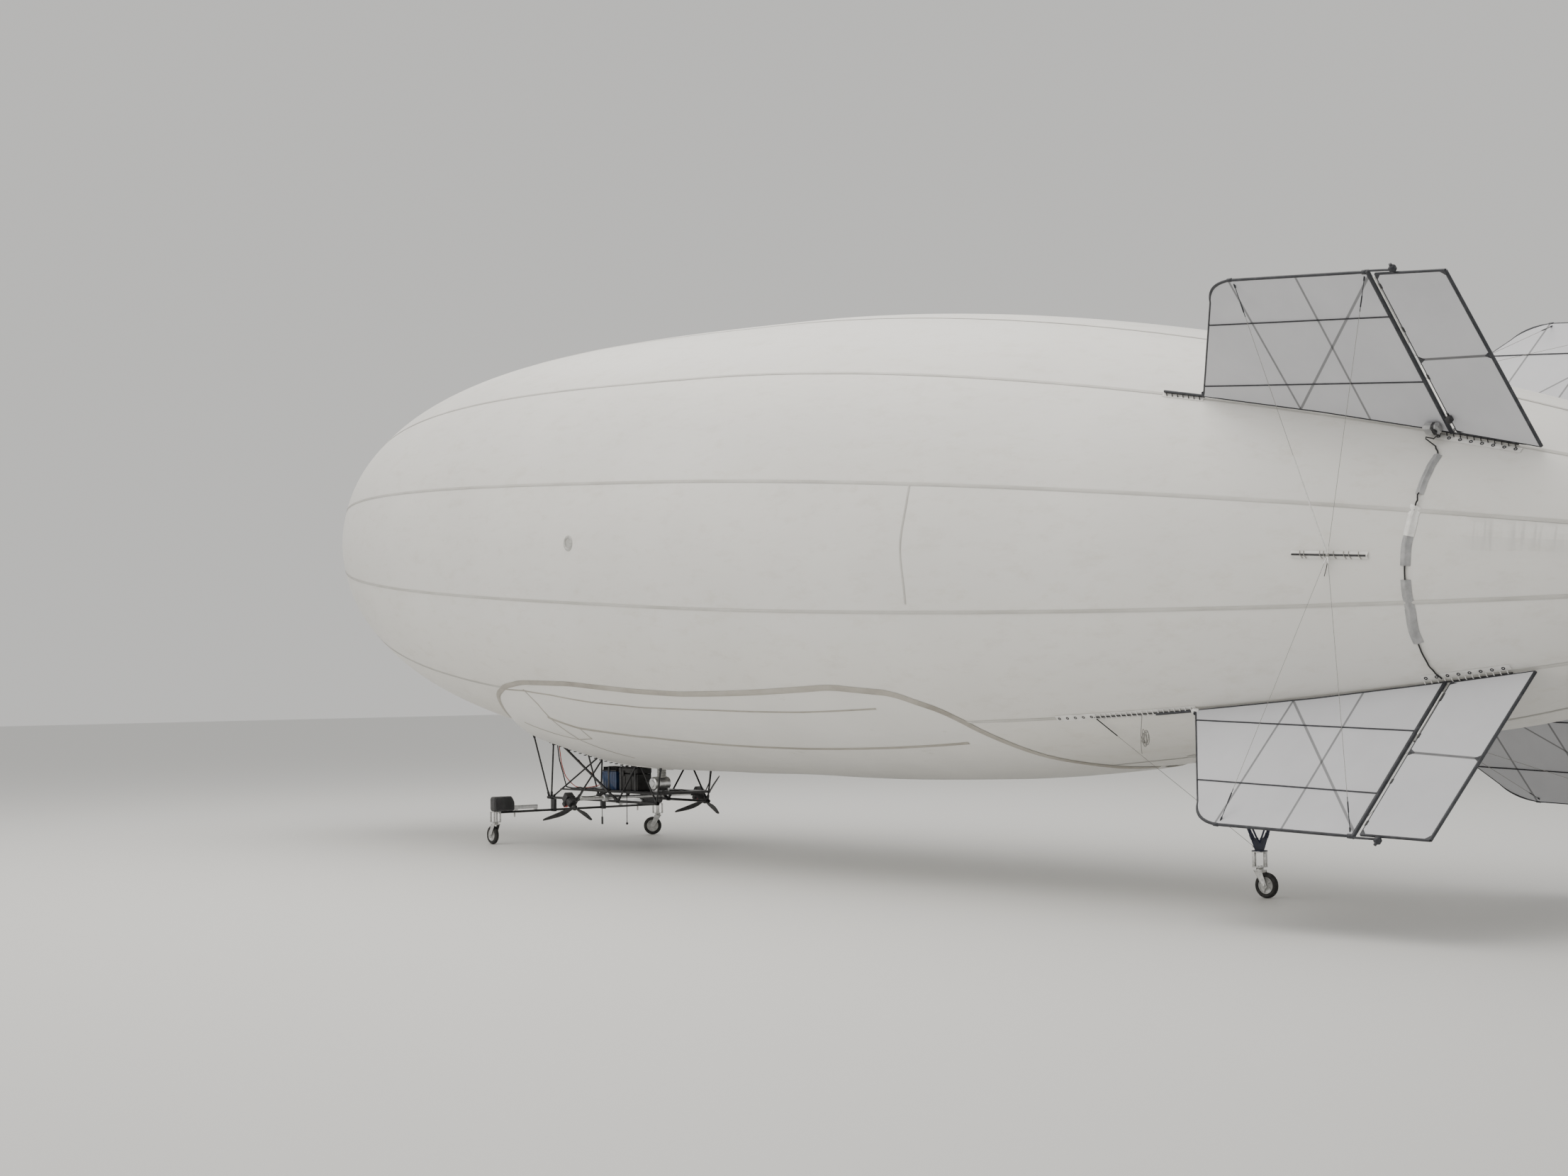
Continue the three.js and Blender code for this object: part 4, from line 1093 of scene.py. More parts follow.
for name, turn in FIN_TURNS.items():
    fin_matrix = HULL_FRAME @ Matrix.Rotation(turn, 4, "X")
    fin_frame = copy_of(fin_frame_model, f"fin_tubes_{name}", fin_matrix)
    dress(fin_frame, grey_tube, "grey_tube")
    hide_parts(f"fin_frame_{name}")
    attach(fin_frame, "hull")
    spar = copy_of(spar_model, f"fin_spar_{name}", fin_matrix)
    dress(spar, grey_tube, "grey_tube")
    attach(spar, "hull")
    # The spar's painted highlight: a white cord in the hinge gap.
    cord = placed(spar_highlight_cord(f"spar_highlight_cord_{name}", *SPAR_HIGHLIGHT_CORDS[name.split("_")[0]]), fin_matrix)
    dress(cord, white_cord, "fin_fabric")
    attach(cord, "hull")
    cover = copy_of(fin_cover_model, f"fin_cloth_{name}", fin_matrix)
    dress(cover, fin_cloth, "fin_fabric")
    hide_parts(f"fin_cover_{name}")
    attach(cover, "hull")
put_away(fin_frame_model, spar_model, fin_cover_model)


# The control surfaces
# Behind each fin a smaller frame of the same tube and cloth swings on the spar. Its rear tube
# is the thickest, and a single rib crosses it near its middle.

SURFACE_ROOT_FRONT = (5.852, root_out(5.852) + 0.008)
SURFACE_TIP_FRONT = (5.892, 2.392)
SURFACE_TIP_REAR = (6.385, 2.368)
SURFACE_ROOT_REAR = (6.392, root_out(6.392) + 0.008)
surface_rib = [
    between(SURFACE_ROOT_FRONT, SURFACE_TIP_FRONT, 0.47),
    between(SURFACE_ROOT_REAR, SURFACE_TIP_REAR, 0.53),
]


def surface_patch(u, v):
    root = between(SURFACE_ROOT_FRONT, SURFACE_ROOT_REAR, u)
    tip = between(SURFACE_TIP_FRONT, SURFACE_TIP_REAR, u)
    return between(root, tip, v)


surface_supports = [
    surface_rib,
    [SURFACE_ROOT_FRONT, SURFACE_TIP_FRONT],
    [SURFACE_ROOT_REAR, SURFACE_TIP_REAR],
    [SURFACE_ROOT_FRONT, SURFACE_ROOT_REAR],
    [SURFACE_TIP_FRONT, SURFACE_TIP_REAR],
]


def surface_cloth_point(u, v, side):
    x, out = surface_patch(u, v)
    away = min(from_line((x, out), line) for line in surface_supports)
    sag = 0.0045 * (1 - math.exp(-(away / 0.09) ** 1.5))
    return Vector((x, side * (0.0078 - sag), out))


def flat_plate(name, outline, thickness, edge):
    """A flat plate with the given corners, its edges rounded off."""
    bpy.ops.object.select_all(action="DESELECT")
    bpy.ops.mesh.primitive_circle_add(vertices=len(outline), fill_type="NGON")
    piece = bpy.context.object
    piece.name = name
    for point, corner in zip(piece.data.vertices, outline):
        point.co = corner
    applied(piece, "SOLIDIFY", thickness=thickness, offset=0)
    applied(piece, "BEVEL", width=edge)
    return piece


GUSSET_THICKNESS = 0.0185


def gusset(corner, along, up):
    """A small triangular plate let into a corner of the frame, over both cloths."""
    x, out = corner
    outline = in_plane([(x, out), (x + along, out), (x, out + up)])
    return flat_plate("gusset", outline, GUSSET_THICKNESS, 0.001)


surface_gussets = [
    gusset(surface_rib[0], 0.045, 0.030),
    gusset(surface_rib[0], 0.045, -0.030),
    gusset(surface_rib[1], -0.045, 0.030),
    gusset(surface_rib[1], -0.045, -0.030),
    gusset(SURFACE_TIP_FRONT, 0.040, -0.040),
    gusset(SURFACE_TIP_REAR, -0.040, -0.040),
    gusset(SURFACE_ROOT_FRONT, 0.050, 0.020),
]
surface_frame_model = joined("surface_frame_model", [
    tubes("surface_front_tube", 0.0088, [in_plane([SURFACE_ROOT_FRONT, SURFACE_TIP_FRONT])], 12),
    tubes("surface_rear_tube", 0.0118, [in_plane([SURFACE_ROOT_REAR, SURFACE_TIP_REAR])], 12),
    tubes("surface_edges", 0.0092, [
        in_plane([SURFACE_ROOT_FRONT, SURFACE_ROOT_REAR]),
        in_plane([SURFACE_TIP_FRONT, SURFACE_TIP_REAR]),
    ], 12),
    tubes("surface_rib", 0.0080, [in_plane(surface_rib)], 8),
    *surface_gussets,
])
smooth(surface_frame_model, 45)
surface_faces = [
    sheet_of_cloth(
        f"surface_cloth_{side}", 32, 60, lambda u, v, side=side: surface_cloth_point(u, v, side)
    )
    for side in (1, -1)
]
for face in surface_faces:
    mark_plane(face)
surface_cloth_model = smooth(joined("surface_cloth_model", surface_faces), 60)
# The rib behind the surface cloth is painted into its colour as a shadow.
surface_cloth = thin_cloth(
    "translucent_surface_cloth",
    [(surface_rib, 0.0105, 0.30)],
    (0.61, 0.615, 0.645),
    (0.555, 0.56, 0.59),
)


# The servo is a small motor box wrapped in grey tape, strapped to the fin over the spar's foot.
SERVO_FACE = -0.0130
SERVO_OUT = 1.190
servo_x = spar_at(SERVO_OUT)[0]
CABLE_START_X = 5.752
CABLE_BELOW_FIN = math.radians(6.5)
cable_out = hull_radius(CABLE_START_X) + 0.009


def block(name, low, high, chamfer=0.003, segments=2):
    """A box between two corners, with all its edges rounded off."""
    low, high = Vector(low), Vector(high)
    bpy.ops.object.select_all(action="DESELECT")
    bpy.ops.mesh.primitive_cube_add(size=1, location=(low + high) / 2)
    piece = bpy.context.object
    piece.name = name
    piece.scale = high - low
    bpy.ops.object.transform_apply(location=True, rotation=True, scale=True)
    bpy.ops.object.mode_set(mode="EDIT")
    bpy.ops.mesh.select_all(action="SELECT")
    bpy.ops.mesh.bevel(offset=chamfer, segments=segments, affect="EDGES")
    bpy.ops.object.mode_set(mode="OBJECT")
    return piece


servo_case = block(
    "servo_case",
    (servo_x - 0.148, SERVO_FACE - 0.060, SERVO_OUT - 0.040),
    (servo_x - 0.028, SERVO_FACE, SERVO_OUT + 0.036),
    0.016, 1,
)
servo_model = smooth(servo_case, 25)
servo_model.name = "servo_model"
servo_strap_model = block(
    "servo_strap_model",
    (servo_x - 0.072, SERVO_FACE - 0.0625, SERVO_OUT - 0.0425),
    (servo_x - 0.058, SERVO_FACE + 0.001, SERVO_OUT + 0.0385),
    0.017, 1,
)
smooth(servo_strap_model, 25)
servo_hub = (servo_x - 0.050, SERVO_FACE - 0.066, SERVO_OUT)
servo_arm = joined("servo_arm_model", [
    turned(
        "servo_head", [(-0.008, 0.0), (-0.008, 0.014), (-0.005, 0.016), (0.006, 0.016)], servo_hub,
        (0, -1, 0), 20,
    ),
    block(
        "servo_lever",
        (servo_hub[0] - 0.007, servo_hub[1] - 0.012, servo_hub[2] - 0.010),
        (servo_hub[0] + 0.007, servo_hub[1] - 0.007, servo_hub[2] + 0.052),
        0.003,
    ),
    tubes("servo_lead", 0.0045, [[
        (servo_x - 0.075, SERVO_FACE - 0.060, SERVO_OUT + 0.024),
        (servo_x - 0.036, SERVO_FACE - 0.078, SERVO_OUT + 0.020),
        (servo_x - 0.030, SERVO_FACE - 0.084, SERVO_OUT - 0.016),
        (servo_x - 0.064, SERVO_FACE - 0.088, SERVO_OUT - 0.036),
        (servo_x - 0.112, SERVO_FACE - 0.092, SERVO_OUT - 0.018),
        (servo_x - 0.104, SERVO_FACE - 0.108, SERVO_OUT - 0.018),
        (CABLE_START_X, -cable_out * math.sin(CABLE_BELOW_FIN), cable_out * math.cos(CABLE_BELOW_FIN)),
    ]], 8),
])
smooth(servo_arm, 40)
grey_tape = mottled("creased_grey_tape", (16, 5, 0.6), [
    (0.35, (0.30, 0.305, 0.31)),
    (0.65, (0.44, 0.44, 0.445)),
], {"Roughness": 0.36, "Metallic": 0.3}, (24, 4), 0.5, 0.004)

# A horn of black plate on the front tube takes the push rod from the servo's lever.
HINGE_LINE = (0.033, 0, 1)
horn_x, horn_out = between(SURFACE_ROOT_FRONT, SURFACE_TIP_FRONT, 0.10)
hinge_eyes = [between(SURFACE_ROOT_FRONT, SURFACE_TIP_FRONT, share) for share in (0.36, 0.66, 0.93)]
surface_horn_model = joined("surface_horn_model", [
    block(
        "horn_plate", (horn_x - 0.006, -0.050, horn_out - 0.020),
        (horn_x + 0.030, -0.012, horn_out + 0.020), 0.0045,
    ),
    sleeve("horn_clamp", (horn_x, 0, horn_out), HINGE_LINE, 0.0125, 0.070),
    *[
        sleeve(f"hinge_eye_{k}", place, HINGE_LINE, 0.0120, 0.040)
        for k, place in enumerate(in_plane(hinge_eyes))
    ],
])
smooth(surface_horn_model, 40)

for name, turn in FIN_TURNS.items():
    fin_matrix = HULL_FRAME @ Matrix.Rotation(turn, 4, "X")
    body = f"control_surface_{name}"
    surface_frame = copy_of(surface_frame_model, f"surface_tubes_{name}", fin_matrix)
    dress(surface_frame, grey_tube, "grey_tube")
    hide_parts(body)
    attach(surface_frame, body)
    cloth = copy_of(surface_cloth_model, f"surface_cloth_{name}", fin_matrix)
    dress(cloth, surface_cloth, "fin_fabric")
    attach(cloth, body)
    horn = copy_of(surface_horn_model, f"surface_horn_{name}", fin_matrix)
    dress(horn, black_fitting, "black_cable")
    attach(horn, body)
    servo = copy_of(servo_model, f"wrapped_servo_{name}", fin_matrix)
    dress(servo, grey_tape, "wrapped_servo")
    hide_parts(f"servo_{name}")
    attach(servo, "hull")
    for model, piece_name in ((servo_strap_model, "servo_strap"), (servo_arm, "servo_arm")):
        fitting = copy_of(model, f"{piece_name}_{name}", fin_matrix)
        dress(fitting, black_fitting, "wrapped_servo")
        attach(fitting, "hull")
put_away(surface_frame_model, surface_cloth_model, surface_horn_model, servo_model)
put_away(servo_strap_model, servo_arm)


# The laced rails and their eyelet strips
# Strips of white webbing set with eyelets are welded to the hull along each fin's foot, and a
# black cord laces them to a thin rail ahead of the fin and another one under the surface.

# Columns: fin, rail start and end, strip start and end, how far the strip lies beside the rail.
RAILS = [
    ("upper", 3.655, 3.985, 3.64, 3.98, 0.0),
    ("upper", 5.66, 6.24, 5.70, 6.27, 0.040),
    ("upper", 5.66, 6.24, 5.70, 6.27, -0.040),
    ("lower", 3.12, 3.985, 2.77, 3.98, 0.0),
    ("lower", 5.66, 6.24, 5.66, 6.24, 0.044),
    ("lower", 5.66, 6.24, 5.66, 6.24, -0.044),
]
EYELET_SPACING = 0.072
RAIL_LIFT = 0.013


def ring_on_hull(x, turn, radius, lift, steps=10):
    centre = on_hull(x, turn, lift)
    along = (on_hull(x + 0.01, turn, lift) - on_hull(x - 0.01, turn, lift)).normalized()
    round_hull = (on_hull(x, turn + 0.01, lift) - on_hull(x, turn - 0.01, lift)).normalized()
    ring = []
    for step in range(steps):
        angle = math.tau * step / steps
        ring.append(centre + along * radius * math.cos(angle) + round_hull * radius * math.sin(angle))
    return ring


def lashing(x, turn, lift):
    """One turn of cord over a rail and down to the strip on each side of it."""
    skew = 0.010
    return [
        on_hull(x - skew, turn - 0.024 / hull_radius(x), 0.005),
        on_hull(x - skew / 2, turn - 0.010 / hull_radius(x), lift + 0.004),
        on_hull(x, turn, lift + 0.0085),
        on_hull(x + skew / 2, turn + 0.010 / hull_radius(x), lift + 0.004),
        on_hull(x + skew, turn + 0.024 / hull_radius(x), 0.005),
    ]


strips = []
eyelets = []
rail_paths = []
lashings = {"upper": [], "lower": []}
for name, fin_turn in FIN_TURNS.items():
    for row, (level, start, end, strip_start, strip_end, beside) in enumerate(RAILS):
        if not name.startswith(level):
            continue
        turn = fin_turn + beside / hull_radius((start + end) / 2)

        def strip_path(share, turn=turn, first=strip_start, last=strip_end):
            return first + (last - first) * share, turn

        width = 0.044 if beside else 0.062
        strips.append(strip_on(on_hull, f"eyelet_strip_{name}_{row}", strip_path, width, 0.0035, 24, 3))
        x = strip_start + 0.030
        while x < strip_end - 0.010:
            if beside or x < start:
                eyelets.append(ring_on_hull(x, turn, 0.0095, 0.0055))
            x += EYELET_SPACING
        if beside >= 0:
            steps = 10
            stations = [start + (end - start) * k / steps for k in range(steps + 1)]
            rail_paths.append([on_hull(place, fin_turn, RAIL_LIFT) for place in stations])
            x = start + 0.020
            while x < end - 0.010:
                lashings[level].append(lashing(x, fin_turn, RAIL_LIFT))
                x += 0.045
eyelet_strips = smooth(joined("eyelet_strips", strips), 50)
white_webbing = mottled("white_webbing", (12, 4), [
    (0.35, (0.74, 0.73, 0.70)),
    (0.65, (0.86, 0.85, 0.83)),
], {"Roughness": 0.6}, (240, 2, 0.5, (1, 0.3, 1)), 0.4, 0.002)
dress(eyelet_strips, white_webbing, "envelope_fabric")
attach(eyelet_strips, "hull")
eyelet_rings = tubes("eyelet_rings", 0.0032, eyelets, sides=6, closed=True)
dress(eyelet_rings, grey_tube, "grey_tube")
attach(eyelet_rings, "hull")
lacing_rails = tubes("lacing_rails", 0.0052, rail_paths, sides=8)
dress(lacing_rails, black_fitting, "black_cable")
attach(lacing_rails, "hull")
for level, finish in (("upper", black_cord), ("lower", white_cord)):
    rail_lashings = tubes(f"rail_lashings_{level}", 0.0034, lashings[level], sides=6)
    dress(rail_lashings, finish, "black_cable")
    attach(rail_lashings, "hull")


# The spare cord of the lower lacing hangs ahead of each lower fin, tied up in a small hank, and
# a pale knot with two tails ties the end of the rail to the fin's front foot.
HANK_X = 3.53


def hank_of(side):
    """The spare cord: a short drop, and then turns wound on themselves."""
    turn = side * math.radians(135)
    start = on_hull(HANK_X, turn, 0.010)
    away = (on_hull(HANK_X, turn, 1) - start).normalized() * 0.020
    path = [start + away * share + Vector((0, 0, -0.135 * share)) for share in (0, 0.3, 0.65, 1.0)]
    drop_end = path[-1]
    for step in range(1, 73):
        angle = math.tau * step / 12
        lean = 0.030 * math.sin(step / 72 * math.pi)
        path.append(drop_end + Vector((
            0.020 - 0.020 * math.cos(angle) + lean,
            side * -0.012 * math.sin(angle * 0.5),
            -0.048 * math.sin(angle) - 0.0005 * step,
        )))
    path.append(path[-1] + Vector((0.002, 0, -0.050)))
    path.append(path[-1] + Vector((0.006, 0, -0.045)))
    return path


foot_knots = []
for side in (1, -1):
    knot_place = on_hull(FIN_ROOT_FRONT - 0.006, side * math.radians(135), FIN_ROOT_CLEARANCE)
    foot_knots.append(turned("foot_knot", [
        (-0.034, 0.0), (-0.032, 0.012), (-0.018, 0.019), (-0.006, 0.0165), (0.006, 0.0205),
        (0.020, 0.017), (0.030, 0.011), (0.032, 0.0),
    ], knot_place, (1, 0, 0), 14))
    foot_knots.append(tubes("knot_tails", 0.0030, [
        [
            knot_place, knot_place + Vector((-0.020, 0, -0.040)),
            knot_place + Vector((-0.016, 0, -0.100)),
        ],
        [knot_place, knot_place + Vector((0.022, 0, -0.035)), knot_place + Vector((0.034, 0, -0.080))],
    ], 6))
foot_knot_set = smooth(joined("fin_foot_knots", foot_knots), 50)
dress(foot_knot_set, white_cord, "stay_wire")
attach(foot_knot_set, "hull")
grey_cord = mottled("grey_braided_cord", (200, 3), [
    (0.35, (0.20, 0.195, 0.18)),
    (0.65, (0.38, 0.37, 0.35)),
], {"Roughness": 0.75}, (400, 2), 0.4, 0.001)
for name, side in (("left", 1), ("right", -1)):
    hank = hank_of(side)
    hank_length = sum((after - before).length for before, after in zip(hank, hank[1:]))
    spare_cord = tubes(f"spare_lacing_cord_{name}", 0.0028, [hank], sides=6)
    dress(spare_cord, grey_cord, "stay_wire")
    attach(spare_cord, "hull")
    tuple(hank[0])


# The stays
# Thin steel wires run from each fin's two tips to an anchor on the hull halfway between the
# fins: a dark rod on a white strip, with the four wires knotted round its middle.

STAY_X = 5.229
STAY_HALF_STRIP = 0.26
STAY_TURNS = {
    "left": math.radians(90),
    "right": math.radians(-90),
    "top": 0.0,
    "bottom": math.pi,
}
STAY_TIPS = [(4.800, 2.440), (5.815, 2.396)]
# Columns: fitting, its distance from the wire's tip, its radius and its length.
STAY_FITTINGS = [
    ("turnbuckle", 0.17, 0.0046, 0.070),
    ("thimble", 0.026, 0.0056, 0.030),
]


def between_points(start, end, *shares):
    return [start + (end - start) * share for share in shares]


for name, turn in STAY_TURNS.items():
    def anchor_path(share, turn=turn):
        return STAY_X + STAY_HALF_STRIP * (2 * share - 1), turn

    anchor_strip = strip_on(on_hull, f"anchor_strip_{name}", anchor_path, 0.050, 0.004, 30, 8, 0.009)
    smooth(anchor_strip, 50)
    dress(anchor_strip, white_webbing, "stay_wire")
    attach(anchor_strip, "hull")
    foot = on_hull(STAY_X, turn, 0.016)
    rod = [
        on_hull(STAY_X + STAY_HALF_STRIP * share, turn, 0.0115)
        for share in (-0.96, -0.5, 0, 0.5, 0.96)
    ]
    lashed = []
    for share in (-0.72, -0.62, -0.2, -0.1, 0.16, 0.42, 0.55, 0.80):
        lashed.append(lashing(STAY_X + STAY_HALF_STRIP * share, turn, 0.010))
    if name in ("left", "right"):
        off_skin = (foot - on_hull(STAY_X, turn)) * 0.6
        tails = [
            foot,
            foot + Vector((0.010, 0, -0.03)) + off_skin,
            foot + Vector((-0.012, 0, -0.085)),
            foot + Vector((-0.030, 0, -0.135)),
        ]
    else:
        tails = [foot, foot + Vector((0.05, 0, 0.002))]
    anchor_rod = joined(f"anchor_rod_{name}", [
        tubes("rod", 0.0072, [rod], 10),
        tubes("tails", 0.0026, [tails], 6),
    ])
    dress(anchor_rod, black_fitting, "black_cable")
    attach(anchor_rod, "hull")
    wires = []
    bright_cords = []
    dark_cords = []
    buckles = []
    for neighbour in (-1, 1):
        for x, out in STAY_TIPS:
            fin_turn = turn + neighbour * math.radians(45)
            tip = in_row(x, -out * math.sin(fin_turn), out * math.cos(fin_turn))
            length = (tip - foot).length
            wires.append(between_points(foot, tip, 0.02, 1 - 0.060 / length))
            bright_share = 0.67 if x < 5 and name in ("left", "right") and neighbour < 0 else 0.06
            bright_cords.append(between_points(foot, tip, 0.0, bright_share / length))
            dark_cords.append(between_points(foot, tip, 1 - 0.235 / length, 1 - 0.005 / length))
            along = (tip - foot).normalized()
            for fitting, from_tip, radius, size in STAY_FITTINGS:
                place = foot + (tip - foot) * (1 - from_tip / length)
                buckles.append(sleeve(fitting, place, along, radius, size, 10))
    knot = turned("anchor_knot", [
        (-0.012, 0.0), (-0.009, 0.009), (0.0, 0.0125), (0.009, 0.010), (0.013, 0.0),
    ], foot, (1, 0, 0), 12)
    stay_set = joined(f"stay_wires_{name}", [
        tubes("wires", 0.0016, wires, 6),
        tubes("lashed", 0.0026, lashed, 6),
        knot,
    ])
    smooth(stay_set, 40)
    dress(stay_set, grey_cord, "stay_wire")
    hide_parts(f"stay_set_{name}")
    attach(stay_set, "hull")
    white_ends = tubes(f"white_stay_ends_{name}", 0.0050, bright_cords, 8)
    dress(white_ends, white_cord, "stay_wire")
    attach(white_ends, "hull")
    stay_ends = smooth(
        joined(f"stay_ends_{name}", [tubes("dark_cords", 0.0027, dark_cords, 6), *buckles]), 40
    )
    dress(stay_ends, grey_tube, "grey_tube")
    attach(stay_ends, "hull")


# The servo cables
# On each side one black cable comes down the hull from the upper servo to the lower one. It is
# held along its way by sleeves of grey tape and stands free of them only at short bends.

# Columns: height round the hull from level, in degrees, and distance along the hull.
CABLE_ROUTE = [
    (38.5, 5.752), (35.7, 5.790), (30, 5.776), (24, 5.766), (20, 5.762), (18.2, 5.770), (16.2, 5.756),
    (12, 5.750), (1, 5.731), (-6, 5.728), (-11.7, 5.728), (-17.8, 5.734), (-24, 5.730),
    (-31, 5.742), (-37.2, 5.752), (-40.5, 5.768), (-43.6, 5.790),
]
# Columns: start and end of a sleeve in degrees, its width, its finish.
SLEEVES = [
    (35.5, 20.5, 0.054, "grey"),
    (16.6, 6.5, 0.072, "silver"),
    (6.5, -3.0, 0.066, "grey"),
    (-7.5, -17.0, 0.066, "grey"),
    (-17.0, -29.0, 0.070, "grey"),
]
CABLE_RADIUS = 0.0052


def cable_x(degrees):
    """The cable's place along the hull at a height round it, eased through its route."""
    for (high, first), (low, second) in zip(CABLE_ROUTE, CABLE_ROUTE[1:]):
        if degrees >= low:
            share = max(0, (high - degrees) / (high - low))
            return first + (second - first) * (1 - math.cos(math.pi * share)) / 2
    return CABLE_ROUTE[-1][1]


silver_tape = mottled("silver_foil_tape", (26, 5, 0.7), [
    (0.35, (0.74, 0.73, 0.70)),
    (0.65, (0.90, 0.90, 0.88)),
], {"Metallic": 0.4, "Roughness": 0.34}, (45, 4), 0.6, 0.004)

for name, side in (("left", 1), ("right", -1)):
    cable_path = []
    for step in range(90):
        degrees = 38.5 - step * (38.5 + 43.6) / 89
        proud = CABLE_RADIUS + 0.003 + (0.010 if 16.8 < degrees < 20.2 else 0)
        cable_path.append(on_hull(cable_x(degrees), side * math.radians(90 - degrees), proud))
    cable = tubes(f"servo_cable_run_{name}", CABLE_RADIUS, [cable_path], 10)
    dress(cable, black_cord, "black_cable")
    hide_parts(f"servo_cable_{name}")
    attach(cable, "hull")
    for number, (high, low, width, finish) in enumerate(SLEEVES):
        def sleeve_path(share, high=high, low=low, side=side):
            degrees = high + (low - high) * share
            return cable_x(degrees), side * math.radians(90 - degrees)
        cable_sleeve = strip_on(
            on_hull, f"cable_sleeve_{name}_{number}", sleeve_path, width, 0.0035, 40, 14, 0.011
        )
        smooth(cable_sleeve, 50)
        dress(cable_sleeve, silver_tape if finish == "silver" else grey_tape, "wrapped_servo")
        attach(cable_sleeve, "hull")


# The gondola frame
# An open truss of thin black tubes hangs under the hull: two lower and two upper runs, joined
# by slanting braces in clamped sockets. A stiff tray across it carries the equipment.

GONDOLA_HALF_WIDTH = 0.300
CHORD_HEIGHT = 0.440
TRAY_TOP = 0.545
CHORD_TUBE = 0.0125
BRACE_TUBE = 0.0088
GONDOLA_FRONT_X = -5.900
GONDOLA_REAR_X = -3.600

# Columns: foot on the lower run, head on the upper run, tube radius.
BRACES = [
    (-5.600, GONDOLA_FRONT_X, BRACE_TUBE),
    (-5.560, -5.510, BRACE_TUBE),
    (-4.345, -5.420, 0.0125),
    (-5.550, -4.600, BRACE_TUBE),
    (-5.080, -4.550, BRACE_TUBE),
    (-4.345, -3.980, BRACE_TUBE),
    (-3.680, -3.980, BRACE_TUBE),
    (-3.680, GONDOLA_REAR_X, BRACE_TUBE),
]

black_tube = mottled("black_coated_tube", (18, 5, 0.6), [
    (0.35, (0.016, 0.016, 0.017)),
    (0.62, (0.032, 0.032, 0.034)),
    (0.82, (0.075, 0.074, 0.072)),
], {"Roughness": 0.38, "Metallic": 0.2}, (140, 2), 0.12, 0.001)

for name, side in (("left", -1), ("right", 1)):
    y = side * GONDOLA_HALF_WIDTH

    def low(x, y=y):
        return Vector((x, y, CHORD_HEIGHT))

    def high(x, y=y):
        return Vector((x, y, upper_chord_height(x)))

    run = [high(GONDOLA_FRONT_X + (GONDOLA_REAR_X - GONDOLA_FRONT_X) * k / 14) for k in range(15)]
    parts = [
        tubes("runs", CHORD_TUBE, [run, [low(-5.610), low(-3.670)]], 12),
        tubes("tray_rail", BRACE_TUBE, [
            [Vector((-5.38, y, TRAY_TOP - 0.014)), Vector((-3.64, y, TRAY_TOP - 0.014))]
        ], 10),
    ]
    for foot, head, radius in BRACES:
        parts.append(tubes("brace", radius, [[low(foot), high(head)]], 10))
        lean = (high(head) - low(foot)).normalized()
        parts.append(sleeve("foot_socket", low(foot) + lean * 0.035, lean, radius + 0.0042, 0.050, 12))
        parts.append(sleeve("head_socket", high(head) - lean * 0.035, lean, radius + 0.0042, 0.050, 12))
        parts.append(sleeve("foot_clamp", low(foot), (1, 0, 0), CHORD_TUBE + 0.0045, 0.054, 14))
        parts.append(sleeve("head_clamp", high(head), (1, 0, -0.05), CHORD_TUBE + 0.0045, 0.054, 14))
    gondola_side = smooth(joined(f"gondola_truss_{name}", parts), 45)
    dress(gondola_side, black_tube, "black_tube")
    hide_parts(f"gondola_side_{name}")
    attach(gondola_side, "hull")


def eased_copy(node, name, edge=0.0012, segments=2):
    """A copy of a CAD node whose flat faces are whole and whose sharp edges are rounded off."""
    bpy.ops.object.select_all(action="DESELECT")
    piece = bpy.data.objects.new(name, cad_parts[node].data.copy())
    bpy.context.collection.objects.link(piece)
    bpy.context.view_layer.objects.active = piece
    piece.select_set(True)
    bpy.ops.object.mode_set(mode="EDIT")
    bpy.ops.mesh.select_all(action="SELECT")
    bpy.ops.mesh.remove_doubles(threshold=0.00002)
    bpy.ops.mesh.dissolve_limited(angle_limit=math.radians(2))
    bpy.ops.object.mode_set(mode="OBJECT")
    sharp = math.radians(35)
    applied(piece, "BEVEL", width=edge, segments=segments, limit_method="ANGLE", angle_limit=sharp)
    return smooth(piece, 38)


tray = eased_copy("gondola_tray", "equipment_tray", 0.0018)
tray_sheet, nodes, links, shader = node_material("dark_composite_sheet")
weave_checks = nodes.new("ShaderNodeTexChecker")
weave_checks.inputs["Scale"].default_value = 260
weave_checks.inputs["Color1"].default_value = (0.016, 0.016, 0.018, 1)
weave_checks.inputs["Color2"].default_value = (0.040, 0.040, 0.043, 1)
object_place = nodes.new("ShaderNodeTexCoord")
links.new(object_place.outputs["Object"], weave_checks.inputs["Vector"])
dusty = ramp(nodes, links, noise(nodes, links, "Object", 5, 5), [
    (0.40, (1.0, 1.0, 1.0)),
    (0.75, (2.2, 2.15, 2.0)),
])
links.new(overlay(nodes, links, 1.0, weave_checks.outputs["Color"], dusty), shader.inputs["Base Color"])
shader.inputs["Roughness"].default_value = 0.35
dress(tray, tray_sheet, "black_tube")
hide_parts("gondola_tray")
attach(tray, "hull")


# The equipment
# On the tray stand a battery case with a strapped lid, a power unit wrapped in blue film, an
# alloy avionics case, and the drum of the fan that keeps the air cells in the hull filled.

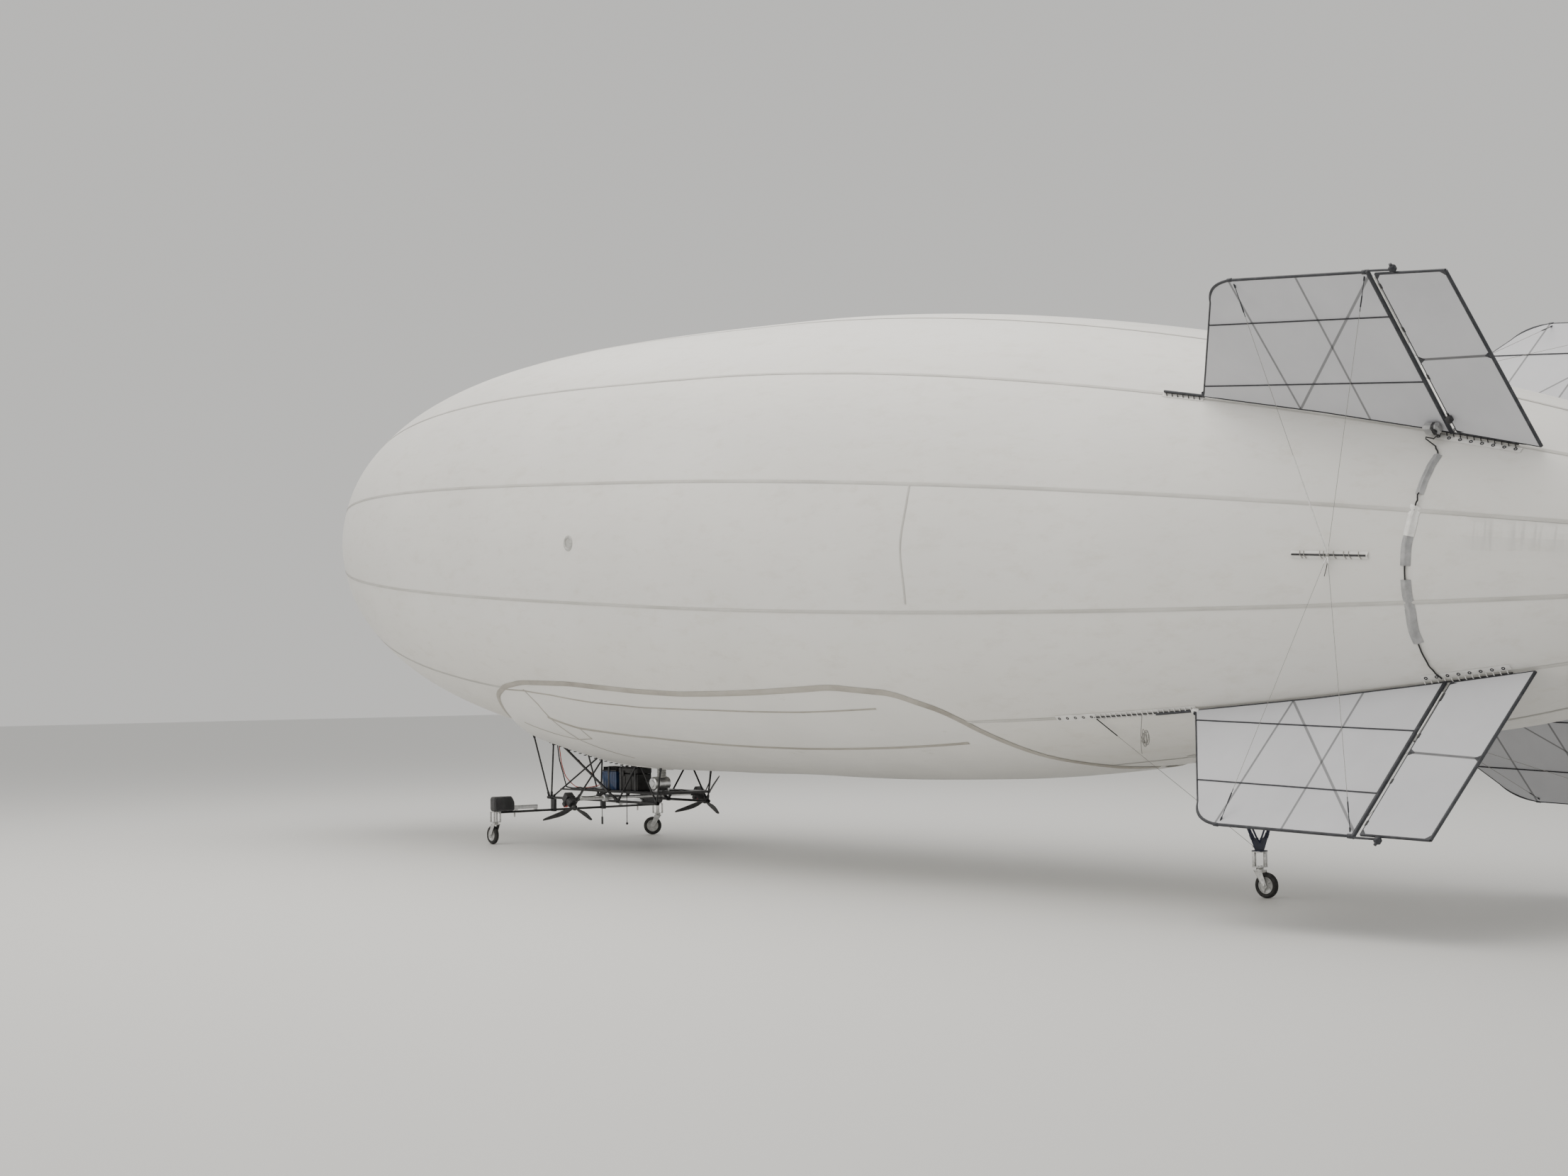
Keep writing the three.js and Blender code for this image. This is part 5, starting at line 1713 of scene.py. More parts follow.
battery_low, battery_high = (-4.400, -0.250, 0.5455), (-4.080, -0.080, 0.770)
lid_height = 0.712
battery_case = joined("battery_case", [
    block("case_body", battery_low, (*battery_high[:2], lid_height - 0.002), 0.010, 3),
    block("case_lid", (battery_low[0] - 0.003, battery_low[1] - 0.003, lid_height),
          (battery_high[0] + 0.003, battery_high[1] + 0.003, battery_high[2]), 0.012, 3),
    *[
        block(
            f"case_rib_{k}", (x - 0.006, battery_low[1] - 0.005, 0.556),
            (x + 0.006, battery_high[1] + 0.005, 0.700), 0.003,
        )
        for k, x in enumerate([-4.345, -4.290, -4.190, -4.135])
    ],
    *[
        block(
            f"case_latch_{k}", (x - 0.020, battery_low[1] - 0.013, 0.686),
            (x + 0.020, battery_low[1] - 0.002, 0.738), 0.004,
        )
        for k, x in enumerate([-4.318, -4.162])
    ],
    tubes("case_handle", 0.0070, [[
        (-4.300, -0.165, 0.770), (-4.300, -0.165, 0.792), (-4.285, -0.165, 0.800),
        (-4.195, -0.165, 0.800), (-4.180, -0.165, 0.792), (-4.180, -0.165, 0.770),
    ]], 8),
])
smooth(battery_case, 35)
black_shell = mottled("black_grained_shell", (24, 4), [
    (0.35, (0.013, 0.013, 0.014)),
    (0.70, (0.034, 0.033, 0.032)),
], {"Roughness": 0.52}, (300, 3), 0.35, 0.001)
dress(battery_case, black_shell, "black_housing")
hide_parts("battery_box")
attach(battery_case, "hull")


def loop_round(low, high, x, lift=0.002):
    """A strap's line round a box, square to X, with its corners cut."""
    cut = 0.012
    y0, y1, z0, z1 = low[1] - lift, high[1] + lift, low[2] + 0.002, high[2] + lift
    return [
        (x, y0, z0), (x, y0, z1 - cut), (x, y0 + cut, z1), (x, y1 - cut, z1), (x, y1, z1 - cut),
        (x, y1, z0),
    ]


def strap(name, line, width=0.025, thickness=0.0016):
    """A flat strap along X-wide runs: its line is drawn, spread and given a thickness."""
    drawn_line(name, [[Vector(point) - Vector((width / 2, 0, 0)) for point in line]])
    bpy.ops.object.convert(target="MESH")
    bpy.ops.object.mode_set(mode="EDIT")
    bpy.ops.mesh.select_all(action="SELECT")
    bpy.ops.mesh.extrude_edges_move(TRANSFORM_OT_translate={"value": (width, 0, 0)})
    bpy.ops.object.mode_set(mode="OBJECT")
    piece = bpy.context.object
    applied(piece, "SOLIDIFY", thickness=thickness, offset=0)
    return sew_closed(piece, 0.00001)


power_low, power_high = (-4.700, -0.250, 0.5455), (-4.450, -0.080, 0.773)
equipment_straps = smooth(joined("equipment_straps", [
    strap("battery_strap_front", loop_round(battery_low, battery_high, -4.365, 0.0065)),
    strap("battery_strap_rear", loop_round(battery_low, battery_high, -4.112, 0.0065)),
    strap("power_strap", loop_round(power_low, power_high, -4.575, 0.004)),
]), 30)
grey_webbing = mottled("dark_grey_webbing", (90, 3), [
    (0.35, (0.050, 0.050, 0.052)),
    (0.65, (0.095, 0.095, 0.098)),
], {"Roughness": 0.7}, (380, 2), 0.5, 0.001)
dress(equipment_straps, grey_webbing, "black_cable")
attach(equipment_straps, "hull")

power_unit = joined("power_unit_pack", [
    block("pack_body", power_low, (power_high[0], power_high[1], 0.728), 0.008, 3),
    *[
        block(
            f"pack_fold_{k}", (x, power_low[1] - 0.003, 0.560),
            (x + 0.010, power_high[1] + 0.003, 0.716), 0.003,
        )
        for k, x in enumerate([-4.662, -4.628, -4.528, -4.492])
    ],
])
smooth(power_unit, 35)
blue_film = mottled("blue_shrink_film", (14, 4), [
    (0.35, (0.012, 0.030, 0.085)),
    (0.70, (0.030, 0.070, 0.170)),
], {"Roughness": 0.30, "Coat Weight": 0.3}, (38, 3, 0.6, (1, 1, 0.4)), 0.5, 0.004)
dress(power_unit, blue_film, "blue_housing")
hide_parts("power_unit")
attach(power_unit, "hull")

heat_fins = [
    block(
        f"heat_fin_{k}", (-4.690 + k * 0.0195, -0.240, 0.738), (-4.6855 + k * 0.0195, -0.090, 0.770),
        0.001, 1,
    )
    for k in range(13)
]
heat_sink = joined("power_heat_sink", [
    block("sink_base", (-4.696, -0.246, 0.7285), (-4.454, -0.084, 0.740), 0.002), *heat_fins
])
smooth(heat_sink, 35)
connector_rows = [
    block(f"connector_{k}", (x, y, 0.735), (x + 0.030, y + 0.022, 0.762), 0.003)
    for k, (x, y) in enumerate([(-4.62, -0.080), (-4.56, -0.080), (-4.50, -0.080)])
]

avionics_low, avionics_high = (-5.040, 0.020, 0.5455), (-4.760, 0.230, 0.695)
CASE_SCREW = [(0.001, 0.0050), (-0.003, 0.0050), (-0.0045, 0.0035), (-0.0048, 0.0)]
avionics_case = joined("avionics_case", [
    block("alloy_case", avionics_low, avionics_high, 0.006, 3),
    *[
        block(f"alloy_rib_{k}", (avionics_low[0] + 0.016 + k * 0.020, 0.026, 0.6935),
              (avionics_low[0] + 0.022 + k * 0.020, 0.224, 0.7050), 0.0015, 1)
        for k in range(13)
    ],
    *[
        turned(f"case_screw_{x}_{z}", CASE_SCREW, (x, avionics_low[1], z), (0, 1, 0), 10)
        for x in (-5.026, -4.774)
        for z in (0.558, 0.682)
    ],
])
smooth(avionics_case, 35)
bright_alloy = mottled("brushed_bright_alloy", (30, 4, 0.6, (1, 1, 0.2)), [
    (0.35, (0.66, 0.665, 0.67)),
    (0.65, (0.84, 0.84, 0.84)),
], {"Metallic": 0.9, "Roughness": 0.33}, (90, 3, 0.6, (1, 1, 0.1)), 0.12, 0.001)
for piece, material, slot_name in (
    (heat_sink, black_fitting, "black_housing"),
    (joined("power_connectors", connector_rows), moulded, "black_housing"),
    (avionics_case, bright_alloy, "bright_metal"),
):
    dress(piece, material, slot_name)
    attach(piece, "hull")
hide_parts("avionics_box")

fan_centre = (-3.830, -0.155, 0.6235)
fan_body = turned("fan_drum", [
    (-0.095, 0.0), (-0.095, 0.030), (-0.091, 0.034), (-0.091, 0.052), (-0.085, 0.062), (-0.074, 0.066),
    (-0.040, 0.066), (-0.038, 0.068), (-0.030, 0.068), (-0.028, 0.066), (0.028, 0.066), (0.030, 0.068),
    (0.038, 0.068), (0.040, 0.066), (0.074, 0.066), (0.085, 0.062), (0.091, 0.052), (0.091, 0.034),
    (0.095, 0.030), (0.095, 0.0),
], fan_centre, (0, 1, 0), 40)
fan_feet = [
    block(f"fan_foot_{k}", (-3.880, y, 0.5455), (-3.780, y + 0.020, 0.5855), 0.003)
    for k, y in enumerate([-0.230, -0.100])
]
air_fan = smooth(joined("air_cell_fan", [fan_body, *fan_feet]), 35)
dress(air_fan, bright_alloy, "bright_metal")
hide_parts("ballonet_fan")
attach(air_fan, "hull")

# A ribbed hose takes the fan's air up into the hull.
hose_profile = []
hose_top = upper_chord_height(-3.80) + 0.055
hose_length = hose_top - 0.680
for step in range(61):
    hose_profile.append((hose_length * step / 60, 0.043 + 0.0035 * math.cos(math.tau * step / 5)))
air_hose = turned("air_hose", hose_profile, (-3.80, -0.155, 0.680), (0, 0, 1), 24)
smooth(air_hose, 60)
dress(air_hose, clear_grey, "black_housing")
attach(air_hose, "hull")

# Two thin antennas hang from the tray's left edge, one ending in a ball and one in a paddle.
ANTENNA_Y = -0.276
BALL_PROFILE = [
    (0.0, 0.0), (0.003, 0.0075), (0.0085, 0.0115), (0.013, 0.0128), (0.0175, 0.0115), (0.023, 0.0075),
    (0.026, 0.0035),
]
BASE_PROFILE = [(0.0, 0.0035), (0.002, 0.0070), (0.020, 0.0090), (0.030, 0.0090), (0.0335, 0.0)]
# Columns: node, distance along, foot height.
ANTENNAS = [
    ("antenna_rod", -4.225, 0.216),
    ("antenna_blade", -4.663, 0.203),
]
for node, x, foot in ANTENNAS:
    parts = [
        tubes("antenna_whip", 0.0036, [[(x, ANTENNA_Y, foot + 0.02), (x, ANTENNA_Y, 0.510)]], 8),
        turned("antenna_base", BASE_PROFILE, (x, ANTENNA_Y, 0.5030), (0, 0, 1), 14),
    ]
    if node == "antenna_rod":
        parts.append(turned("antenna_ball", BALL_PROFILE, (x, ANTENNA_Y, foot), (0, 0, 1), 18))
    else:
        low_corner = (x - 0.0128, ANTENNA_Y - 0.0048, foot)
        high_corner = (x + 0.0128, ANTENNA_Y + 0.0048, foot + 0.075)
        parts.append(block("antenna_paddle", low_corner, high_corner, 0.003))
    antenna = smooth(joined(f"hanging_{node}", parts), 40)
    dress(antenna, black_fitting, "black_cable")
    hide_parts(node)
    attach(antenna, "hull")


# The wiring
# Black looms are tied along the frame between the cases; red and orange power leads run from
# the battery to the power unit, and up the front braces.

def wire_run(name, radius, slack, stops):
    """A wire tied at each stop, which sags a little between its ties."""
    path = []
    for start, end in zip(stops, stops[1:]):
        start, end = Vector(start), Vector(end)
        for step in range(6):
            sag = slack * math.sin(math.pi * step / 6)
            path.append(start.lerp(end, step / 6) - Vector((0, 0, sag)))
    path.append(Vector(stops[-1]))
    return tubes(name, radius, [path], 8)


left_high = upper_chord_height(-5.45) - 0.020
rear_high = upper_chord_height(-3.62) - 0.020
# Columns: name, radius, slack, stops.
LOOMS = [
    ("loom_tray_left", 0.0075, 0.012, [
        (-5.30, -0.284, 0.556), (-5.05, -0.280, 0.556), (-4.80, -0.276, 0.556), (-4.60, -0.270, 0.556),
    ]),
    ("loom_up_front", 0.0060, 0.004, [
        (-5.30, -0.284, 0.556), (-5.36, -0.288, 0.70), (-5.42, -0.288, 0.82),
        (-5.46, -0.288, left_high),
    ]),
    ("loom_across", 0.0060, 0.006, [
        (-4.76, 0.10, 0.60), (-4.73, -0.02, 0.57), (-4.62, -0.060, 0.60), (-4.60, -0.075, 0.735),
    ]),
    ("loom_fan", 0.0050, 0.010, [(-4.08, -0.16, 0.66), (-4.00, -0.16, 0.60), (-3.93, -0.17, 0.60)]),
    *[
        (name, 0.0050, 0.004, [
            (-4.50, side * 0.284, 0.556), (-4.505, side * 0.33, 0.518), (-4.505, side * 0.45, 0.495),
            (-4.503, side * 0.62, 0.495),
        ])
        for name, side in (("loom_boom_left", -1), ("loom_boom_right", 1))
    ],
    ("loom_rear", 0.0055, 0.008, [
        (-3.93, -0.05, 0.56), (-3.76, 0.05, 0.556), (-3.68, 0.27, 0.535), (-3.65, 0.30, 0.62),
        (-3.62, 0.30, rear_high),
    ]),
    ("loom_right_tray", 0.0070, 0.006, [
        (-5.04, 0.15, 0.60), (-5.14, 0.20, 0.556), (-5.30, 0.284, 0.556), (-5.48, 0.300, 0.465),
    ]),
]
looms = joined("black_looms", [wire_run(*row) for row in LOOMS])
smooth(looms, 50)
dress(looms, black_cord, "black_cable")
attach(looms, "hull")
RED_LEADS = [
    (
        "red_lead", 0.0042, -0.012,
        [(-4.40, -0.20, 0.735), (-4.425, -0.21, 0.748), (-4.45, -0.20, 0.715)],
    ),
    (
        "red_lead_low", 0.0042, -0.014,
        [(-4.40, -0.13, 0.735), (-4.425, -0.12, 0.748), (-4.45, -0.13, 0.715)],
    ),
    ("red_front", 0.0045, 0.010, [
        (-4.70, -0.20, 0.62), (-4.90, -0.255, 0.562), (-5.15, -0.272, 0.562), (-5.32, -0.280, 0.66),
        (-5.40, -0.280, 0.80), (-5.44, -0.280, left_high),
    ]),
]
power_leads = joined("red_power_leads", [wire_run(*row) for row in RED_LEADS])
smooth(power_leads, 50)
red_jacket = mottled("red_wire_jacket", (40, 3), [
    (0.35, (0.36, 0.020, 0.012)),
    (0.65, (0.52, 0.045, 0.022)),
], {"Roughness": 0.4}, (200, 2), 0.1, 0.001)
dress(power_leads, red_jacket, "black_cable")
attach(power_leads, "hull")
orange_leads = wire_run("orange_leads", 0.0038, 0.020, [
    (-4.70, -0.14, 0.65), (-4.82, -0.16, 0.575), (-4.96, -0.20, 0.70), (-5.10, -0.262, 0.83),
    (-5.20, -0.286, 0.885),
])
orange_jacket = mottled("orange_wire_jacket", (40, 3), [
    (0.35, (0.60, 0.16, 0.020)),
    (0.65, (0.74, 0.24, 0.040)),
], {"Roughness": 0.4}, (200, 2), 0.1, 0.001)
dress(orange_leads, orange_jacket, "black_cable")
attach(orange_leads, "hull")


# The outrigger and its pods
# One tube crosses the gondola's front in two clamp blocks. A bright square bar stiffens each of
# its ends, and a black padded cover hides the tip over the caster.

FRONT_GEAR_X = -5.520
FRONT_GEAR_Y = 0.985
POD_INNER_Y = 0.785
POD_OUTER_Y = 1.020
POD_BOTTOM = 0.3285
POD_TOP = 0.476
POD_HALF_WIDTH = 0.050
POD_CORNER = 0.020
POD_DIP = 0.062

outrigger = eased_copy("outrigger_tube", "outrigger_beam", 0.002)
dress(outrigger, black_tube, "black_tube")
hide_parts("outrigger_tube")
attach(outrigger, "hull")

pod_cloth, nodes, links, shader = node_material("black_padded_nylon")
links.new(ramp(nodes, links, noise(nodes, links, "Object", 11, 5, 0.6), [
    (0.35, (0.014, 0.014, 0.016)),
    (0.70, (0.040, 0.040, 0.043)),
]), shader.inputs["Base Color"])
shader.inputs["Roughness"].default_value = 0.62
shader.inputs["Sheen Weight"].default_value = 0.25
dimples = relief(nodes, links, shader, noise(nodes, links, "Object", 10, 3), 0.45, 0.02)
relief(nodes, links, shader, noise(nodes, links, "Object", 420, 1), 0.5, 0.001, dimples)

for name, side in (("left", -1), ("right", 1)):
    bpy.ops.object.select_all(action="DESELECT")
    bpy.ops.mesh.primitive_cube_add(size=2)
    pod = bpy.context.object
    pod.name = f"padded_pod_{name}"
    bpy.ops.object.mode_set(mode="EDIT")
    bpy.ops.mesh.select_all(action="SELECT")
    bpy.ops.mesh.subdivide(number_cuts=23)
    bpy.ops.object.mode_set(mode="OBJECT")
    half = Vector((POD_HALF_WIDTH, (POD_OUTER_Y - POD_INNER_Y) / 2, (POD_TOP - POD_BOTTOM) / 2))
    corner = POD_CORNER
    middle_y = (POD_INNER_Y + POD_OUTER_Y) / 2
    for point in pod.data.vertices:
        spread = Vector((point.co.x * half.x, point.co.y * half.y, point.co.z * half.z))
        core = Vector([max(corner - h, min(h - corner, value)) for value, h in zip(spread, half)])
        beyond = spread - core
        rounded = core + beyond.normalized() * corner if beyond.length > 1e-6 else spread
        plump = 0.004 * (1 - point.co.y ** 2) * max(0, 1 - min(abs(point.co.x), abs(point.co.z)) ** 2)
        rounded.x += plump * rounded.x / half.x
        inwards = max(0, min(1, (0.034 - (rounded.y + half.y)) / 0.034))
        if rounded.z > 0:
            rounded.z -= POD_DIP * inwards * (rounded.z + half.z) / (2 * half.z)
        quilt = 0.0018 * abs(math.sin(rounded.y * 40)) ** 0.5
        rounded.z -= quilt * rounded.z / half.z
        point.co = Vector((
            FRONT_GEAR_X + rounded.x,
            side * (middle_y + rounded.y),
            (POD_BOTTOM + POD_TOP) / 2 + rounded.z,
        ))
    sew_closed(pod, 0.0001)
    smooth(pod, 60)
    dress(pod, pod_cloth, "pod_cover")
    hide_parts(f"side_pod_{name}")
    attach(pod, "hull")
    welt_rows = []
    for x_side in (1, -1):
        x = FRONT_GEAR_X + x_side * (POD_HALF_WIDTH - 0.0005)
        welt_rows.append([
            (x, side * 0.800, POD_BOTTOM + 0.012),
            (x, side * 1.000, POD_BOTTOM + 0.012),
            (x, side * 1.011, POD_BOTTOM + 0.026),
            (x, side * 1.011, POD_TOP - 0.026),
            (x, side * 0.998, POD_TOP - 0.011),
            (x, side * 0.832, POD_TOP - 0.013),
            (x, side * 0.799, POD_TOP - 0.074),
        ])
    welts = tubes(f"pod_welts_{name}", 0.0030, welt_rows, 8)
    dress(welts, grey_webbing, "pod_cover")
    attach(welts, "hull")
    bar = eased_copy(f"outrigger_bar_{name}", f"square_bar_{name}", 0.004)
    dress(bar, bright_alloy, "bright_metal")
    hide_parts(f"outrigger_bar_{name}")
    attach(bar, "hull")
    tag = block(
        f"bar_tag_{name}",
        (FRONT_GEAR_X - 0.026, side * 0.748 - 0.010, 0.262),
        (FRONT_GEAR_X - 0.0245, side * 0.748 + 0.010, 0.352),
        0.0005,
    )
    dress(tag, white_webbing, "bright_metal")
    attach(tag, "hull")


# The casters
# Each wheel turns in a pressed steel fork on a swivelling race. An open bracket, which is square
# posts between two plates, holds it under the pod or the tail leg.

CASTER_TOP = 0.220
CASTER_TRAIL = 0.055
WHEEL_RADIUS = 0.093
CASTERS = [
    ("front_left", FRONT_GEAR_X, -FRONT_GEAR_Y, 0, 0.3282),
    ("front_right", FRONT_GEAR_X, FRONT_GEAR_Y, 52, 0.3282),
    ("tail", 3.525, 0.0, 187, 0.335),
]
BRACKET_NODES = {
    "front_left": "caster_bracket_left",
    "front_right": "caster_bracket_right",
    "tail": "tail_bracket",
}
NUT_PROFILE = [(0.0, 0.0), (0.0, 0.0105), (0.006, 0.0105), (0.0075, 0.009), (0.0075, 0.0)]
# Each post: its place beside the caster's axis, and half its width.
FRONT_POSTS = [(x, y, 0.007) for x in (-0.034, 0.034) for y in (-0.034, 0.034)]
TAIL_POSTS = [(-0.028, -0.028, 0.011), (0.028, 0.028, 0.011)]

zinc = mottled("zinc_plated_steel", (45, 5, 0.65), [
    (0.32, (0.42, 0.42, 0.41)),
    (0.55, (0.62, 0.62, 0.61)),
    (0.75, (0.74, 0.74, 0.73)),
], {"Metallic": 0.9, "Roughness": 0.30}, (110, 3), 0.15, 0.001)

rubber = mottled("black_tyre_rubber", (30, 5), [
    (0.40, (0.014, 0.014, 0.014)),
    (0.75, (0.050, 0.048, 0.045)),
], {"Roughness": 0.78}, (160, 3), 0.3, 0.001)

wheel_centre = (-CASTER_TRAIL, 0, WHEEL_RADIUS)
half_tyre = [
    (0.0165, 0.0600), (0.0195, 0.0625), (0.0215, 0.0680), (0.0220, 0.0760), (0.0200, 0.0830),
    (0.0165, 0.0880), (0.0125, 0.0908), (0.0112, 0.0892), (0.0100, 0.0916), (0.0050, 0.0927),
    (0.0042, 0.0908), (0.0030, 0.0929), (0.0, 0.0930),
]
tyre_profile = half_tyre + [(-along, radius) for along, radius in reversed(half_tyre[:-1])]
tyre_model = turned("tyre_model", tyre_profile + [half_tyre[0]], wheel_centre, (0, 1, 0), 56)
smooth(tyre_model, 35)
half_rim = [
    (0.0150, 0.0603), (0.0175, 0.0590), (0.0170, 0.0560), (0.0110, 0.0525), (0.0075, 0.0480),
    (0.0070, 0.0300), (0.0110, 0.0240), (0.0185, 0.0215), (0.0195, 0.0190), (0.0195, 0.0063),
]
rim_profile = half_rim + [(-along, radius) for along, radius in reversed(half_rim)]
rim_parts = [turned("rim_dish", rim_profile + [half_rim[0]], wheel_centre, (0, 1, 0), 48)]
for k in range(5):
    angle = math.tau * k / 5
    for face in (1, -1):
        spoke = [
            (
                wheel_centre[0] + out * math.cos(angle), face * aside,
                wheel_centre[2] + out * math.sin(angle),
            )
            for out, aside in ((0.021, 0.0125), (0.051, 0.0105))
        ]
        rim_parts.append(tubes("rim_rib", 0.0042, [spoke], 8))
rim_model = smooth(joined("rim_model", rim_parts), 38)
pale_rim = mottled("pale_grey_rim", (22, 4), [
    (0.35, (0.46, 0.46, 0.45)),
    (0.65, (0.66, 0.66, 0.65)),
], {"Roughness": 0.4, "Metallic": 0.3}, (120, 2), 0.15, 0.001)


def bracket_model(height, posts_of_bracket):
    """Two plates held apart by square posts, with a bolt on the plates beside each post."""
    base = CASTER_TOP + 0.0003
    parts = [
        block("lower_plate", (-0.041, -0.041, base), (0.041, 0.041, base + 0.006), 0.0015),
        block("upper_plate", (-0.041, -0.041, height - 0.006), (0.041, 0.041, height), 0.0015),
    ]
    for post_x, post_y, half in posts_of_bracket:
        parts.append(block(
            "post",
            (post_x - half, post_y - half, base + 0.003),
            (post_x + half, post_y + half, height - 0.003),
            0.0018,
        ))
    for bolt_y in (-0.018, 0.018):
        for z in (base + 0.0085, height - 0.0085):
            profile = [(-0.003, 0.0), (-0.003, 0.0075), (0.003, 0.0075), (0.003, 0.0)]
            parts.append(turned("bolt", profile, (0.0, bolt_y, z), (0, 0, 1), 6))
    return smooth(joined("bracket", parts), 35)


for name, x, y, turned_by, bracket_top in CASTERS:
    swivel_frame = Matrix.Translation((x, y, 0)) @ Matrix.Rotation(math.radians(turned_by), 4, "Z")
    fork = eased_copy(f"{name}_fork", f"{name}_caster_fork", 0.0014)
    axle_ends = [
        turned("axle_nut", NUT_PROFILE, (-CASTER_TRAIL, side * 0.0345, WHEEL_RADIUS), (0, side, 0), 6)
        for side in (1, -1)
    ]
    nuts = placed(joined("axle_nuts", axle_ends), swivel_frame)
    fork = smooth(joined(f"{name}_caster_fork", [fork, nuts]), 38)
    dress(fork, zinc, "bright_metal")
    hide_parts(f"{name}_fork")
    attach(fork, f"{name}_fork")
    tyre = copy_of(tyre_model, f"{name}_tyre", swivel_frame)
    dress(tyre, rubber, "caster_tyre")
    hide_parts(f"{name}_wheel")
    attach(tyre, f"{name}_wheel")
    rim = copy_of(rim_model, f"{name}_rim", swivel_frame)
    dress(rim, pale_rim, "bright_metal")
    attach(rim, f"{name}_wheel")
    posts_here = TAIL_POSTS if name == "tail" else FRONT_POSTS
    bracket = placed(bracket_model(bracket_top, posts_here), Matrix.Translation((x, y, 0)))
    bracket.name = f"{name}_open_bracket"
    dress(bracket, zinc, "bright_metal")
    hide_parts(BRACKET_NODES[name])
    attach(bracket, "hull")
put_away(tyre_model, rim_model)


# The tail leg
# A notched plate stands on the tail caster's bracket. Two thick tubes splay from its shoulders,
# two thin ones run ahead and aft, and each ends on a round reinforcing patch of the hull.

TAIL_GEAR_X = 3.525
LEG_PLATE_FOOT = 0.3353
# The plate's corners: how far across it, and how far above its foot.
LEG_PLATE = [
    (-0.040, 0.0),
    (0.040, 0.0),
    (0.088, 0.098),
    (0.062, 0.108),
    (0.0, 0.062),
    (-0.062, 0.108),
    (-0.088, 0.098),
]
# Columns: start across and up, foot along and across, tube radius, foot patch radius.
LEG_TUBES = [
    ((-0.066, 0.4193), (TAIL_GEAR_X, -0.400), 0.013, 0.125),
    ((0.066, 0.4193), (TAIL_GEAR_X, 0.400), 0.013, 0.125),
    ((0.0, 0.3873), (TAIL_GEAR_X - 0.330, 0.0), 0.007, 0.080),
    ((0.0, 0.3873), (TAIL_GEAR_X + 0.280, 0.0), 0.007, 0.080),
]


def under_hull(x, y):
    """The skin's height over a place of the floor, under the hull."""
    down = math.asin(y / hull_radius(x))
    drop = skin_radius(x, math.pi + down) * math.cos(down)
    return HULL_CENTRE.z - x * math.tan(NOSE_UP) - drop / math.cos(NOSE_UP)


plate_corners = [Vector((TAIL_GEAR_X, y, LEG_PLATE_FOOT + up)) for y, up in LEG_PLATE]
seat_low = (TAIL_GEAR_X - 0.041, -0.041, LEG_PLATE_FOOT)
leg_parts = [
    flat_plate("notched_plate", plate_corners, 0.016, 0.002),
    block("plate_seat", seat_low, (TAIL_GEAR_X + 0.041, 0.041, LEG_PLATE_FOOT + 0.008), 0.002),
]
patches = []
for (start_y, start_z), (foot_x, foot_y), radius, patch_radius in LEG_TUBES:
    start = Vector((TAIL_GEAR_X, start_y, start_z))
    foot = Vector((foot_x, foot_y, under_hull(foot_x, foot_y) - 0.012))
    lean = (foot - start).normalized()
    leg_parts.append(tubes("leg_tube", radius, [[start, foot]], 14))
    leg_parts.append(sleeve("leg_socket", start + lean * 0.030, lean, radius + 0.003, 0.040, 16))
    leg_parts.append(turned("foot_knuckle", [
        (0.0, 0.0), (-0.008, radius + 0.002), (-0.002, radius + 0.009), (0.005, radius + 0.010),
        (0.009, radius + 0.006), (0.010, 0.0),
    ], foot, Vector((foot.x, 0, HULL_CENTRE.z)) - foot, 20))
    turn = math.pi + math.asin(foot_y / hull_radius(foot_x))
    slope = under_hull(foot_x, foot_y) - HULL_CENTRE.z + foot_x * math.tan(NOSE_UP)
    local_x = foot_x / math.cos(NOSE_UP) + slope * math.sin(NOSE_UP)

    def patch_point(u, v, centre_x=local_x, centre_turn=turn, size=patch_radius):
        angle = v * math.tau
        return on_hull(
            centre_x + size * u * math.cos(angle),
            centre_turn + size * u * math.sin(angle) / hull_radius(centre_x),
            0.0045 - 0.0035 * u ** 8,
        )

    patches.append(sew_closed(sheet_of_cloth("foot_patch", 10, 40, patch_point)))
leg = smooth(joined("tail_gear_leg", leg_parts), 40)
blue_black = mottled("blue_black_painted_tube", (20, 5), [
    (0.35, (0.010, 0.013, 0.032)),
    (0.65, (0.018, 0.024, 0.060)),
    (0.82, (0.050, 0.055, 0.085)),
], {"Roughness": 0.36}, (130, 2), 0.12, 0.001)
dress(leg, blue_black, "black_tube")
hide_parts("tail_leg")
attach(leg, "hull")
foot_patches = smooth(joined("leg_foot_patches", patches), 50)
dress(foot_patches, tape_fabric, "envelope_fabric")
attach(foot_patches, "hull")

# A wire on each side steadies the leg from the front of the lower fin's lacing rail.
TAIL_STAY_X = 3.150
for name, side in (("left", -1), ("right", 1)):
    start = Vector((3.509, side * 0.043, 0.371))
    anchor = on_hull(TAIL_STAY_X, -side * math.radians(135), 0.030)
    tail_stay = joined(f"tail_stay_wire_{name}", [
        tubes("wire", 0.0018, [[start, anchor]], 6),
        block(
            "lug", (3.504, side * 0.043 - 0.009, 0.363), (3.5167, side * 0.043 + 0.009, 0.379), 0.002
        ),
    ])
    dress(smooth(tail_stay, 40), grey_cord, "stay_wire")
    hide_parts(f"tail_stay_{name}")
    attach(tail_stay, "hull")
    stay_start = tubes(f"tail_stay_start_{name}", 0.0042, [
        [anchor, anchor + (start - anchor).normalized() * 0.20]
    ], 8)
    dress(stay_start, black_cord, "stay_wire")
    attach(stay_start, "hull")


# The motors and propellers
# A bright tube crosses the gondola in two collars. At each end an electric motor and its
# controller tilt on a short arm, and push with a three-bladed propeller of black composite.

